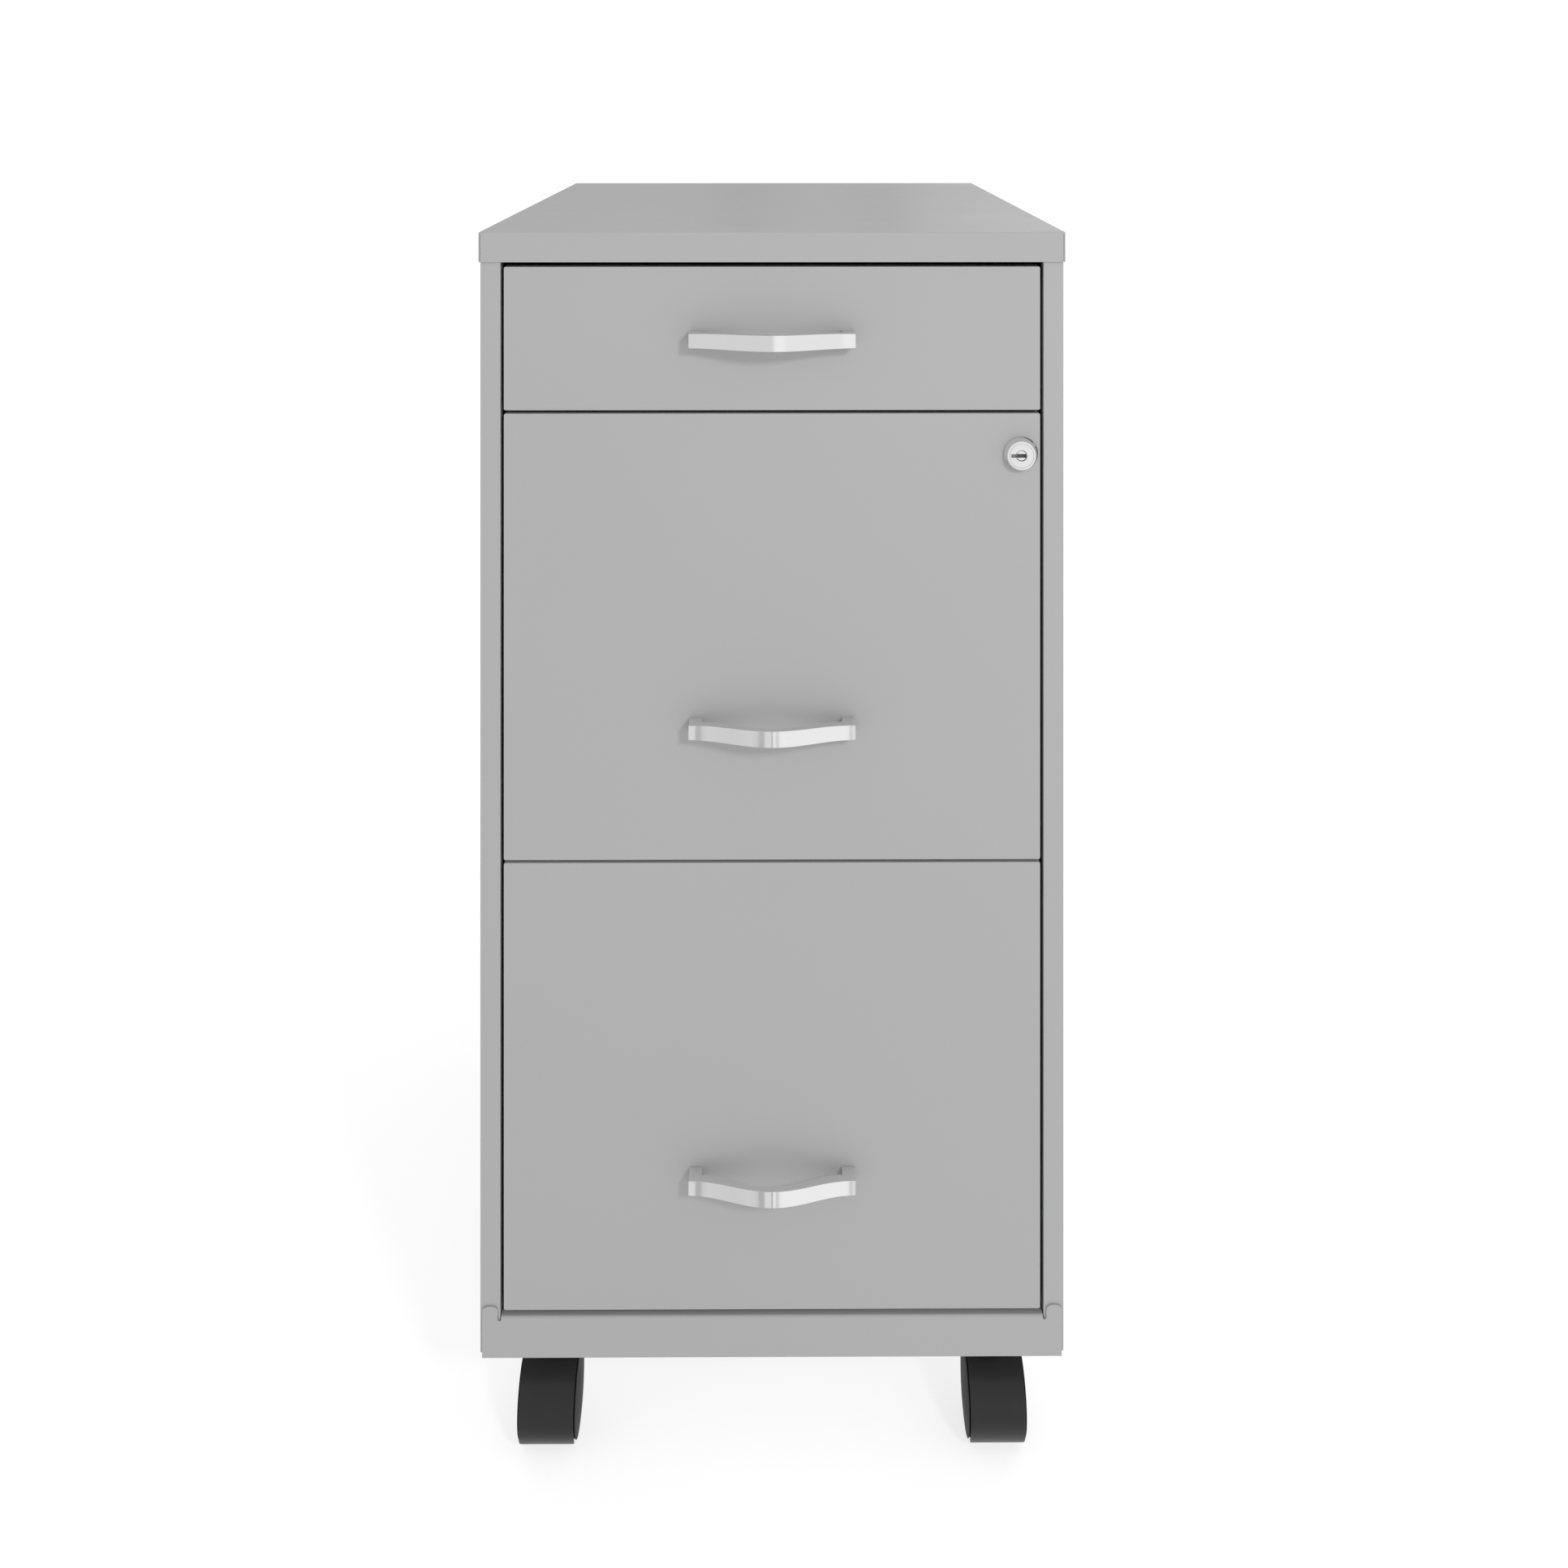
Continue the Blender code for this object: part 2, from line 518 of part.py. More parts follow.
def build_lock_core(placing, bore, parent):
    """The plug with its keyway, the cam on its tail and the screw that holds the cam."""
    tail = -BARREL_LENGTH - PLUG_TAIL
    plug_face = LOCK_REACH - PLUG_RECESS
    pilot = CAM_SCREW_RADIUS + BORE_CLEARANCE
    profile = [(0, plug_face), (PLUG_RADIUS, plug_face), (PLUG_RADIUS, tail), (pilot, tail),
               (pilot, tail + PILOT_DEPTH), (0, tail + PILOT_DEPTH)]
    plug = turned("lock_plug", profile, False, placing, CHROME, parent)
    middle = Vector((LOCK_X, FACE_Y - LOCK_REACH, LOCK_Z))
    slot_low = middle - Vector((KEYWAY_HALF_WIDTH, OVERLAP, KEYWAY_HALF_HEIGHT))
    slot_high = middle + Vector((KEYWAY_HALF_WIDTH, KEYWAY_DEPTH, KEYWAY_HALF_HEIGHT))
    cut(plug, block("keyway_slot", slot_low, slot_high, CHROME))
    outline = arc((0, 0), CAM_HALF_WIDTH, math.pi, 2 * math.pi, 8)
    outline += [(CAM_HALF_WIDTH, CAM_LENGTH - CAM_CORNER), (CAM_HALF_WIDTH - CAM_CORNER, CAM_LENGTH),
                (CAM_CORNER - CAM_HALF_WIDTH, CAM_LENGTH), (-CAM_HALF_WIDTH, CAM_LENGTH - CAM_CORNER)]
    eye = arc((0, 0), bore, 0, 2 * math.pi * (ROUND - 1) / ROUND, ROUND - 1)
    cam_y = FACE_Y + BARREL_LENGTH + CAM_CLEARANCE + CAM_THICKNESS / 2
    plate("lock_cam", [outline, eye], CAM_THICKNESS, Matrix.Translation((LOCK_X, cam_y, LOCK_Z)) @ ACROSS_Y,
          STEEL, parent)
    seat = tail - GAP
    profile = [(0, seat + CAM_SCREW_LENGTH), (CAM_SCREW_RADIUS, seat + CAM_SCREW_LENGTH),
               (CAM_SCREW_RADIUS, seat), (CAM_SCREW_HEAD_RADIUS, seat),
               (CAM_SCREW_HEAD_RADIUS, seat - CAM_SCREW_HEAD_EDGE),
               (CAM_SCREW_CROWN_RADIUS, seat - CAM_SCREW_HEAD), (0, seat - CAM_SCREW_HEAD)]
    turned("lock_cam_screw", profile, False, placing, STEEL, parent, steps=SCREW_STEPS)


def build_caster(corner, x, swivel_y):
    """A plate and stem under the base, and a hood that swivels on the stem and carries two wheels."""
    name = f"{corner}_caster"
    axle_y = swivel_y - TRAIL
    plate_top = BASE_BOTTOM - GAP
    plate_bottom = plate_top - PLATE_SIZE[2]
    profile = [(0, plate_bottom + OVERLAP), (CUP_RADIUS, plate_bottom + OVERLAP),
               (CUP_RADIUS, CUP_BOTTOM + CUP_EDGE), (CUP_RADIUS - CUP_EDGE, CUP_BOTTOM),
               (STEM_RADIUS, CUP_BOTTOM), (STEM_RADIUS, STEM_BOTTOM), (0, STEM_BOTTOM)]
    mount = turned(f"{name}_mount", profile, False, Matrix.Translation((x, swivel_y, 0)), ZINC)
    half_x, half_y = PLATE_SIZE[0] / 2, PLATE_SIZE[1] / 2
    join(mount, block(f"{name}_plate", (x - half_x, swivel_y - half_y, plate_bottom),
                      (x + half_x, swivel_y + half_y, plate_top), ZINC))
    swivel = pivot(f"{name}_swivel", (x, swivel_y, WHEEL_RADIUS))
    build_hood(name, x, swivel_y, axle_y, swivel)
    axle = Matrix.Translation((x, axle_y, WHEEL_RADIUS)) @ ACROSS_X
    turned(f"{name}_axle", rod_profile(AXLE_RADIUS, -AXLE_LENGTH / 2, AXLE_LENGTH / 2), False, axle, STEEL,
           swivel, steps=SCREW_STEPS)
    bore = AXLE_RADIUS + BORE_CLEARANCE
    cap_radius = WHEEL_RADIUS - WHEEL_CAP_STEP
    profile = [(cap_radius * t, WHEEL_OUTER_X - WHEEL_DOME * t ** 2)
               for t in (i / WHEEL_DOME_STEPS for i in range(WHEEL_DOME_STEPS + 1))]
    profile += [(cap_radius, HOOD_HALF_WIDTH),
                (WHEEL_RADIUS, HOOD_HALF_WIDTH - WHEEL_CAP_STEP), (WHEEL_RADIUS, WHEEL_INNER_X + WHEEL_EDGE),
                (WHEEL_RADIUS - WHEEL_EDGE, WHEEL_INNER_X), (bore, WHEEL_INNER_X), (bore, WHEEL_BORE_END),
                (0, WHEEL_BORE_END)]
    for side, sign in (("inner", -math.copysign(1, x)), ("outer", math.copysign(1, x))):
        turn = Matrix.Rotation(0 if sign > 0 else math.pi, 4, "Y")
        facing = Matrix.Translation((x, axle_y, WHEEL_RADIUS)) @ turn @ ACROSS_X
        turned(f"{name}_{side}_wheel", profile, False, facing, NYLON, swivel, steps=WHEEL_STEPS)


def build_hood(name, x, swivel_y, axle_y, swivel):
    """The hood: a round band over both wheels, a web between them, and the boss that turns on the stem.
    Its outlines are drawn with the local X to the rear and the local Y up, from the axle."""
    def around(radius, start, end, steps):
        return [(-y, z) for y, z in arc((0, 0), radius, start, end, steps)]

    placing = Matrix.Translation((x, axle_y, WHEEL_RADIUS)) @ ACROSS_X
    band = around(HOOD_RADIUS, HOOD_LIP_ANGLE, HOOD_BACK_ANGLE, HOOD_STEPS)
    band += around(HOOD_INNER_RADIUS, HOOD_BACK_ANGLE, HOOD_LIP_ANGLE, HOOD_STEPS)
    hood = plate(f"{name}_hood", [band], 2 * HOOD_HALF_WIDTH, placing, NYLON, swivel)
    middle_radius = (HOOD_RADIUS + HOOD_INNER_RADIUS) / 2
    boss_in, boss_back = BOSS_BOTTOM - WHEEL_RADIUS + OVERLAP, TRAIL + BOSS_RADIUS - OVERLAP
    web = around(middle_radius, WEB_FRONT_ANGLE, math.pi / 2, 8)
    web += [(TRAIL - BOSS_RADIUS, boss_in), (boss_back, boss_in), (boss_back, boss_in - WEB_BACK_DROP),
            (middle_radius * math.cos(WEB_TOE_ANGLE), 0)]
    web += around(HUB_RADIUS, math.pi, 2 * math.pi, 8)[1:-1]
    join(hood, plate(f"{name}_web", [web], WEB_WIDTH, placing, NYLON))
    boss_placing = Matrix.Translation((x, swivel_y, 0))
    join(hood, turned(f"{name}_boss", rod_profile(BOSS_RADIUS, BOSS_BOTTOM, BOSS_TOP), False, boss_placing,
                      NYLON))
    socket = rod_profile(STEM_RADIUS + BORE_CLEARANCE, STEM_BOTTOM - OVERLAP, BOSS_TOP + OVERLAP)
    cut(hood, turned(f"{name}_socket", socket, False, boss_placing, NYLON))
    axle_hole = rod_profile(AXLE_RADIUS + BORE_CLEARANCE, -WEB_WIDTH, WEB_WIDTH)
    cut(hood, turned(f"{name}_axle_hole", axle_hole, False, placing, NYLON))


def sharpen(piece):
    """Round pieces are shaded smooth, and their real edges stay sharp."""
    if piece.type == "MESH":
        piece.data.shade_smooth()
        piece.data.set_sharp_from_angle(angle=SHARP_ANGLE)


build_case()
for drawer_name, sizes in DRAWERS.items():
    drawer_pivot, drawer_front = build_drawer(drawer_name, *sizes)
    if drawer_name == "middle_drawer":
        build_lock(drawer_pivot, drawer_front)
for corner_name, corner_x, corner_y in (("front_left", -CASTER_X, FRONT_SWIVEL_Y),
                                        ("front_right", CASTER_X, FRONT_SWIVEL_Y),
                                        ("rear_left", -CASTER_X, REAR_SWIVEL_Y),
                                        ("rear_right", CASTER_X, REAR_SWIVEL_Y)):
    build_caster(corner_name, corner_x, corner_y)
for part in cabinet.objects:
    sharpen(part)
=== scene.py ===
"""The looks of the rolling pedestal cabinet: fine meshes on the frame, materials, light and camera."""
import math

import bmesh
import bpy
from mathutils import Matrix, Vector


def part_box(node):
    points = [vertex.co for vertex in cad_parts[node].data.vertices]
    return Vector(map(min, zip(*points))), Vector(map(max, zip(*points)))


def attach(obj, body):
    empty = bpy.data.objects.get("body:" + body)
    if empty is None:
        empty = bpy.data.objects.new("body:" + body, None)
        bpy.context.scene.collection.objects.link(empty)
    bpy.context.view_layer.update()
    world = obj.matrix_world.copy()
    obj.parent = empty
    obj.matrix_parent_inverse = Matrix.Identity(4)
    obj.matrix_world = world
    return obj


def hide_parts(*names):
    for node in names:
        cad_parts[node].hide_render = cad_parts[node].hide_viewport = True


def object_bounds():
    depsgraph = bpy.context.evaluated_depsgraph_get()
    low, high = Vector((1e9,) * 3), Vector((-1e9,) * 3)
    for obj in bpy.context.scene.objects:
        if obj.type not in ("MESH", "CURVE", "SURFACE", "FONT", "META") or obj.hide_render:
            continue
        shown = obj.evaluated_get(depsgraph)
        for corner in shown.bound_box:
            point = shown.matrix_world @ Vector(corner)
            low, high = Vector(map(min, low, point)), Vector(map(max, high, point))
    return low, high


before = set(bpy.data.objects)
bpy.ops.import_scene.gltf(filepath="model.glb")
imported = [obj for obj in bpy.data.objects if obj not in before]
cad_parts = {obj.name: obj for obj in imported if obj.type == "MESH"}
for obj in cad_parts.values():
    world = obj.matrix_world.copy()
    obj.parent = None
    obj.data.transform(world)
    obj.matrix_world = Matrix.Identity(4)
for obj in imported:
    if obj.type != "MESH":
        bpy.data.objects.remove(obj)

MM = 0.001
cad_low, cad_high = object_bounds()
SHEET = 0.8 * MM
GAP = 0.25 * MM
TOUCH = 0.01 * MM
CORNERS = ("front_left", "front_right", "rear_left", "rear_right")
DRAWERS = ("top_drawer", "middle_drawer", "bottom_drawer")
FACE_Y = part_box("middle_drawer_front")[0].y

ACROSS_X = Matrix(((0, 0, 1, 0), (1, 0, 0, 0), (0, 1, 0, 0), (0, 0, 0, 1)))
ACROSS_Y = Matrix.Rotation(math.pi / 2, 4, "X")


# Materials ---------------------------------------------------------------------------------------------

def new_material(name, colour, metallic, roughness):
    material = bpy.data.materials.new(name)
    material.use_nodes = True
    shader = material.node_tree.nodes["Principled BSDF"]
    shader.inputs["Base Color"].default_value = (*colour, 1)
    shader.inputs["Metallic"].default_value = metallic
    shader.inputs["Roughness"].default_value = roughness
    return material, material.node_tree, shader


def coordinates(tree, stretch=(1, 1, 1)):
    """The piece's own coordinates in metres, stretched along its axes."""
    place = tree.nodes.new("ShaderNodeTexCoord")
    mapping = tree.nodes.new("ShaderNodeMapping")
    mapping.inputs["Scale"].default_value = stretch
    tree.links.new(place.outputs["Object"], mapping.inputs["Vector"])
    return mapping.outputs["Vector"]


def noise(tree, vector, scale, detail=3.0, roughness=0.5):
    node = tree.nodes.new("ShaderNodeTexNoise")
    node.inputs["Scale"].default_value = scale
    node.inputs["Detail"].default_value = detail
    node.inputs["Roughness"].default_value = roughness
    tree.links.new(vector, node.inputs["Vector"])
    return node.outputs["Fac"]


def spread(tree, value, low, high):
    """Maps a noise's range softly to low..high."""
    node = tree.nodes.new("ShaderNodeMapRange")
    node.interpolation_type = "SMOOTHSTEP"
    node.inputs["From Min"].default_value = 0.1
    node.inputs["From Max"].default_value = 0.9
    node.inputs["To Min"].default_value = low
    node.inputs["To Max"].default_value = high
    tree.links.new(value, node.inputs["Value"])
    return node.outputs["Result"]


def tinted(tree, value, dark, light):
    """A colour between dark and light, by the value."""
    node = tree.nodes.new("ShaderNodeMix")
    node.data_type = "RGBA"
    node.inputs["A"].default_value = (*dark, 1)
    node.inputs["B"].default_value = (*light, 1)
    tree.links.new(value, node.inputs["Factor"])
    return node.outputs["Result"]


def shaded(shade, factor):
    """The colour made lighter or darker by a factor."""
    return tuple(factor * c for c in shade)


def bump(tree, shader, height, distance, strength):
    """Gives the shader a bump, with its distance in metres."""
    node = tree.nodes.new("ShaderNodeBump")
    node.inputs["Distance"].default_value = distance
    node.inputs["Strength"].default_value = strength
    tree.links.new(height, node.inputs["Height"])
    tree.links.new(node.outputs["Normal"], shader.inputs["Normal"])


def paint_material(name, shade):
    """Semi-gloss powder coat: a fine orange peel, a slow drift in tone and a little in gloss."""
    material, tree, shader = new_material(name, shade, metallic=0.0, roughness=0.24)
    place = coordinates(tree)
    drift = noise(tree, place, scale=5.0, detail=2.0)
    gloss = noise(tree, place, scale=14.0, detail=1.0)
    peel = noise(tree, place, scale=320.0, detail=1.0)
    tone = tinted(tree, drift, shaded(shade, 0.975), shaded(shade, 1.02))
    tree.links.new(tone, shader.inputs["Base Color"])
    tree.links.new(spread(tree, gloss, 0.20, 0.28), shader.inputs["Roughness"])
    bump(tree, shader, peel, distance=0.02 * MM, strength=0.06)
    return material


def chrome_material(name, shade, low, high, stretch):
    """Satin chrome: fine polishing lines along the piece, and a gloss that varies slightly along them."""
    material, tree, shader = new_material(name, shade, metallic=1.0, roughness=(low + high) / 2)
    lines = noise(tree, coordinates(tree, stretch), scale=900.0, detail=3.0, roughness=0.6)
    smudge = noise(tree, coordinates(tree), scale=45.0, detail=4.0)
    tree.links.new(spread(tree, smudge, low, high), shader.inputs["Roughness"])
    tree.links.new(tinted(tree, lines, shaded(shade, 0.96), shade), shader.inputs["Base Color"])
    bump(tree, shader, lines, distance=0.003 * MM, strength=0.2)
    return material


def zinc_material(name):
    """Bright zinc plate on rolled steel: a faint spangle and drawing lines along the rolling direction."""
    material, tree, shader = new_material(name, (0.60, 0.61, 0.63), metallic=1.0, roughness=0.34)
    spangle = tree.nodes.new("ShaderNodeTexVoronoi")
    spangle.inputs["Scale"].default_value = 160.0
    tree.links.new(coordinates(tree), spangle.inputs["Vector"])
    lines = noise(tree, coordinates(tree, (1, 0.04, 1)), scale=1100.0, detail=2.0)
    tone = tinted(tree, spangle.outputs["Distance"], (0.58, 0.59, 0.61), (0.64, 0.64, 0.655))
    tree.links.new(tone, shader.inputs["Base Color"])
    tree.links.new(spread(tree, lines, 0.28, 0.42), shader.inputs["Roughness"])
    bump(tree, shader, lines, distance=0.01 * MM, strength=0.35)
    return material


def steel_material(name):
    """Plated screws: a turned finish with small handling marks."""
    material, tree, shader = new_material(name, (0.56, 0.56, 0.57), metallic=1.0, roughness=0.28)
    marks = noise(tree, coordinates(tree), scale=700.0, detail=5.0, roughness=0.6)
    tree.links.new(tinted(tree, marks, (0.46, 0.46, 0.47), (0.62, 0.62, 0.63)), shader.inputs["Base Color"])
    tree.links.new(spread(tree, marks, 0.22, 0.4), shader.inputs["Roughness"])
    bump(tree, shader, marks, distance=0.01 * MM, strength=0.4)
    return material


def dull_material(name, shade, low, high, specular):
    """A moulded or cast surface: a fine grain, a little dust in its tone and an uneven gloss."""
    material, tree, shader = new_material(name, shade, metallic=0.0, roughness=(low + high) / 2)
    place = coordinates(tree)
    dust = noise(tree, place, scale=60.0, detail=6.0, roughness=0.65)
    gloss = noise(tree, place, scale=120.0, detail=4.0)
    grain = noise(tree, place, scale=3200.0, detail=2.0)
    tone = tinted(tree, dust, shaded(shade, 0.85), shaded(shade, 1.25))
    tree.links.new(tone, shader.inputs["Base Color"])
    tree.links.new(spread(tree, gloss, low, high), shader.inputs["Roughness"])
    bump(tree, shader, grain, distance=0.02 * MM, strength=0.3)
    shader.inputs["Specular IOR Level"].default_value = specular
    return material


PAINT_SHADE = (0.385, 0.385, 0.386)
CASE_PAINT = paint_material("case_powder_coat", PAINT_SHADE)
DRAWER_PAINT = paint_material("drawer_powder_coat", PAINT_SHADE)
HANDLE_CHROME = chrome_material("handle_satin_chrome", (0.93, 0.93, 0.93), 0.06, 0.10, (0.06, 1, 1))
LOCK_CHROME = chrome_material("lock_satin_chrome", (0.90, 0.90, 0.90), 0.14, 0.20, (1, 1, 1))
ZINC = zinc_material("slide_zinc_plate")
STEEL = steel_material("screw_plated_steel")
HOOD_NYLON = dull_material("hood_black_nylon", (0.020, 0.020, 0.021), 0.26, 0.34, 0.3)
WHEEL_NYLON = dull_material("wheel_black_nylon", (0.013, 0.013, 0.014), 0.45, 0.55, 0.1)
# Painted shade: a dark grey that stands for the shade deep in the keyway.
KEYWAY_PAINTED_SHADE = dull_material("keyway_painted_shade", (0.17, 0.17, 0.165), 0.5, 0.6, 0.3)
# Painted shade: a mid grey that stands for the shade in the notch on the lock's face.
NOTCH_PAINTED_SHADE = dull_material("notch_painted_shade", (0.24, 0.24, 0.24), 0.45, 0.55, 0.3)
# Painted shade: chrome a little darker and rougher than the lock's, for the shade in the ring groove.
RING_PAINTED_SHADE = chrome_material("ring_groove_painted_shade", (0.85, 0.85, 0.85), 0.3, 0.4, (1, 1, 1))


# Mesh helpers ------------------------------------------------------------------------------------------

def add_piece(name, bm, material, body, slot, *replaced):
    """Puts a finished mesh in the scene on a body of the frame, in place of the CAD nodes named."""
    mesh = bpy.data.meshes.new(name)
    bm.to_mesh(mesh)
    bm.free()
    piece = bpy.data.objects.new(name, mesh)
    bpy.context.scene.collection.objects.link(piece)
    mesh.materials.append(material)
    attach(piece, body)
    if replaced:
        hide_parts(*replaced)
    return piece


def smooth(piece, angle=32):
    """Smooth shading with real edges kept sharp, and flat faces kept flat beside their bevels."""
    piece.data.shade_smooth()
    piece.data.set_sharp_from_angle(angle=math.radians(angle))
    weighted = piece.modifiers.new("weighted_normals", "WEIGHTED_NORMAL")
    weighted.keep_sharp = True


def thicken(piece, thickness, side):
    solidify = piece.modifiers.new("thickness", "SOLIDIFY")
    solidify.thickness = thickness
    solidify.offset = side
    solidify.use_even_offset = True


def soften(piece, width, segments=2, angle=40):
    """Breaks the piece's sharp edges with a small round."""
    bevel = piece.modifiers.new("edges", "BEVEL")
    bevel.width = width
    bevel.segments = segments
    bevel.limit_method = "ANGLE"
    bevel.angle_limit = math.radians(angle)
    bevel.harden_normals = False


def settle(piece):
    """Applies the piece's modifiers, so that later edits work on the final mesh."""
    bpy.context.view_layer.update()
    evaluated = piece.evaluated_get(bpy.context.evaluated_depsgraph_get())
    mesh = bpy.data.meshes.new_from_object(evaluated)
    piece.modifiers.clear()
    old = piece.data
    piece.data = mesh
    bpy.data.meshes.remove(old)


def cut(piece, tool_bm):
    """Takes the tool's shape out of the piece."""
    mesh = bpy.data.meshes.new("cutter")
    tool_bm.to_mesh(mesh)
    tool_bm.free()
    tool = bpy.data.objects.new("cutter", mesh)
    bpy.context.scene.collection.objects.link(tool)
    change = piece.modifiers.new("cut", "BOOLEAN")
    change.operation = "DIFFERENCE"
    change.solver = "EXACT"
    change.object = tool
    settle(piece)
    bpy.data.objects.remove(tool)
    bpy.data.meshes.remove(mesh)


def line_with(piece, material, low, high):
    """Gives the faces whose middles lie between two corners a material of their own."""
    piece.data.materials.append(material)
    index = len(piece.data.materials) - 1
    for face in piece.data.polygons:
        if all(a < c < b for a, c, b in zip(low, face.center, high)):
            face.material_index = index


def line_ring(piece, material, axis, inner, outer, front, back):
    """Gives the faces of a groove round the axis, below the front face, a material of their own."""
    piece.data.materials.append(material)
    index = len(piece.data.materials) - 1
    for face in piece.data.polygons:
        reach = math.hypot(face.center.x - axis.x, face.center.z - axis.z)
        if inner - TOUCH < reach < outer + TOUCH and front + TOUCH < face.center.y < back:
            face.material_index = index


def cylinder_shape(radius, depth, placing, segments=48):
    bm = bmesh.new()
    bmesh.ops.create_cone(bm, cap_ends=True, segments=segments, radius1=radius, radius2=radius, depth=depth,
                          matrix=placing)
    return bm


def box_shape(low, high):
    bm = bmesh.new()
    size = Vector(high) - Vector(low)
    middle = (Vector(high) + Vector(low)) / 2
    bmesh.ops.create_cube(bm, size=1, matrix=Matrix.Translation(middle) @ Matrix.Diagonal((*size, 1)))
    return bm


def arc(centre, radius, start, end, steps):
    """Points of an arc, with the angles in radians from the local X axis."""
    angles = [start + (end - start) * i / steps for i in range(steps + 1)]
    return [(centre[0] + radius * math.cos(a), centre[1] + radius * math.sin(a)) for a in angles]


def rounded_path(points, radius, steps=6):
    """An open path in a plane with its inner corners turned into arcs."""
    path = [Vector(points[0])]
    for before, corner, after in zip(points, points[1:], points[2:]):
        before, corner, after = Vector(before), Vector(corner), Vector(after)
        come, go = (before - corner).normalized(), (after - corner).normalized()
        half = come.angle(go) / 2
        centre = corner + (come + go).normalized() * radius / math.sin(half)
        start = corner + come * radius / math.tan(half) - centre
        turn = math.pi - 2 * half
        sign = 1 if start.x * (go.y - come.y) - start.y * (go.x - come.x) > 0 else -1
        for i in range(steps + 1):
            angle = sign * turn * i / steps
            path.append(centre + Vector((start.x * math.cos(angle) - start.y * math.sin(angle),
                                         start.x * math.sin(angle) + start.y * math.cos(angle))))
    path.append(Vector(points[-1]))
    return path


def extrude_edges(bm, edges, step):
    """Draws the edges on by one step, and returns the new edges."""
    grown = bmesh.ops.extrude_edge_only(bm, edges=edges)["geom"]
    verts = [v for v in grown if isinstance(v, bmesh.types.BMVert)]
    bmesh.ops.translate(bm, verts=verts, vec=step)
    moved = set(verts)
    return [e for e in grown if isinstance(e, bmesh.types.BMEdge) and set(e.verts) <= moved]


def folded_shape(points, radius, low, high, placing):
    """An open sheet surface folded along points in its local XY, drawn from low to high along local Z."""
    bm = bmesh.new()
    verts = [bm.verts.new((p.x, p.y, low)) for p in rounded_path(points, radius)]
    edges = [bm.edges.new(pair) for pair in zip(verts, verts[1:])]
    extrude_edges(bm, edges, (0, 0, high - low))
    bm.transform(placing)
    return bm


def pan_shape(low, high, open_axis, open_end, post_radius, fold_radius, post_steps=4, fold_steps=4):
    """An open box surface: round posts beside the opening and round folds on the side opposite it."""
    bm = box_shape(low, high)
    opened = [f for f in bm.faces if f.normal[open_axis] * open_end > 0.5]
    bmesh.ops.delete(bm, geom=opened, context="FACES_ONLY")
    posts = [e for e in bm.edges if abs((e.verts[0].co - e.verts[1].co)[open_axis]) > post_radius]
    bmesh.ops.bevel(bm, geom=posts, offset=post_radius, segments=post_steps, profile=0.5, affect="EDGES")
    closed = [f for f in bm.faces if f.normal[open_axis] * open_end < -0.5]
    folds = {e for f in closed for e in f.edges}
    bmesh.ops.bevel(bm, geom=list(folds), offset=fold_radius, segments=fold_steps, profile=0.5,
                    affect="EDGES")
    return bm


def turned_shape(profile, placing, steps=64, closed=True):
    """A shape turned about its local Z, from (radius, height) points in order round its section."""
    bm = bmesh.new()
    verts = [bm.verts.new((radius, 0, height)) for radius, height in profile]
    loop = zip(verts, verts[1:] + verts[:1]) if closed else zip(verts, verts[1:])
    edges = [bm.edges.new(pair) for pair in loop]
    bmesh.ops.spin(bm, geom=verts + edges, cent=(0, 0, 0), axis=(0, 0, 1), angle=2 * math.pi, steps=steps,
                   use_merge=True)
    bmesh.ops.remove_doubles(bm, verts=bm.verts, dist=0.001 * MM)
    bmesh.ops.recalc_face_normals(bm, faces=bm.faces)
    bm.transform(placing)
    return bm


def plate_shape(outline, low, high, placing):
    """A flat piece: a closed outline in its local XY, from low to high along its local Z."""
    bm = bmesh.new()
    face = bm.faces.new([bm.verts.new((x, y, low)) for x, y in outline])
    grown = bmesh.ops.extrude_face_region(bm, geom=[face])["geom"]
    verts = [v for v in grown if isinstance(v, bmesh.types.BMVert)]
    bmesh.ops.translate(bm, verts=verts, vec=(0, 0, high - low))
    bmesh.ops.recalc_face_normals(bm, faces=bm.faces)
    bm.transform(placing)
    return bm


# The case ----------------------------------------------------------------------------------------------

CAP_SKIN = 0.55 * MM
CAP_POST = 0.8 * MM
CAP_FOLD = 0.6 * MM
SIDE_FOLD = 0.6 * MM
STILE_RETURN = 10 * MM
BACK_FOLD = 1.4 * MM
BASE_FOLD = 1.4 * MM


def build_cap():
    low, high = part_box("top_cap")
    shape = pan_shape(low, high, open_axis=2, open_end=-1, post_radius=CAP_POST, fold_radius=CAP_FOLD,
                      post_steps=5, fold_steps=5)
    cap = add_piece("cap_shell", shape, CASE_PAINT, "case", "case_paint", "top_cap")
    thicken(cap, CAP_SKIN, -1)
    settle(cap)
    cut_corners(cap, low, high)
    smooth(cap)


def cut_corners(cap, low, high):
    """The seams where the cap's front and back lips meet its side lips, each with a relief hole on top."""
    seam, inset, hole, hole_depth = 0.12 * MM, 1.0 * MM, 0.45 * MM, 4 * MM
    outside, inside, below_top = 0.5 * MM, 0.8 * MM, 1.1 * MM
    for x in (low.x + inset, high.x - inset):
        for y, inward in ((low.y, 1), (high.y, -1)):
            near, far = sorted((y - inward * outside, y + inward * inside))
            cut(cap, box_shape((x - seam, near, low.z - MM), (x + seam, far, high.z - below_top)))
            relief = Matrix.Translation((x, y + inward * inset, high.z))
            cut(cap, cylinder_shape(hole, hole_depth, relief, 16))


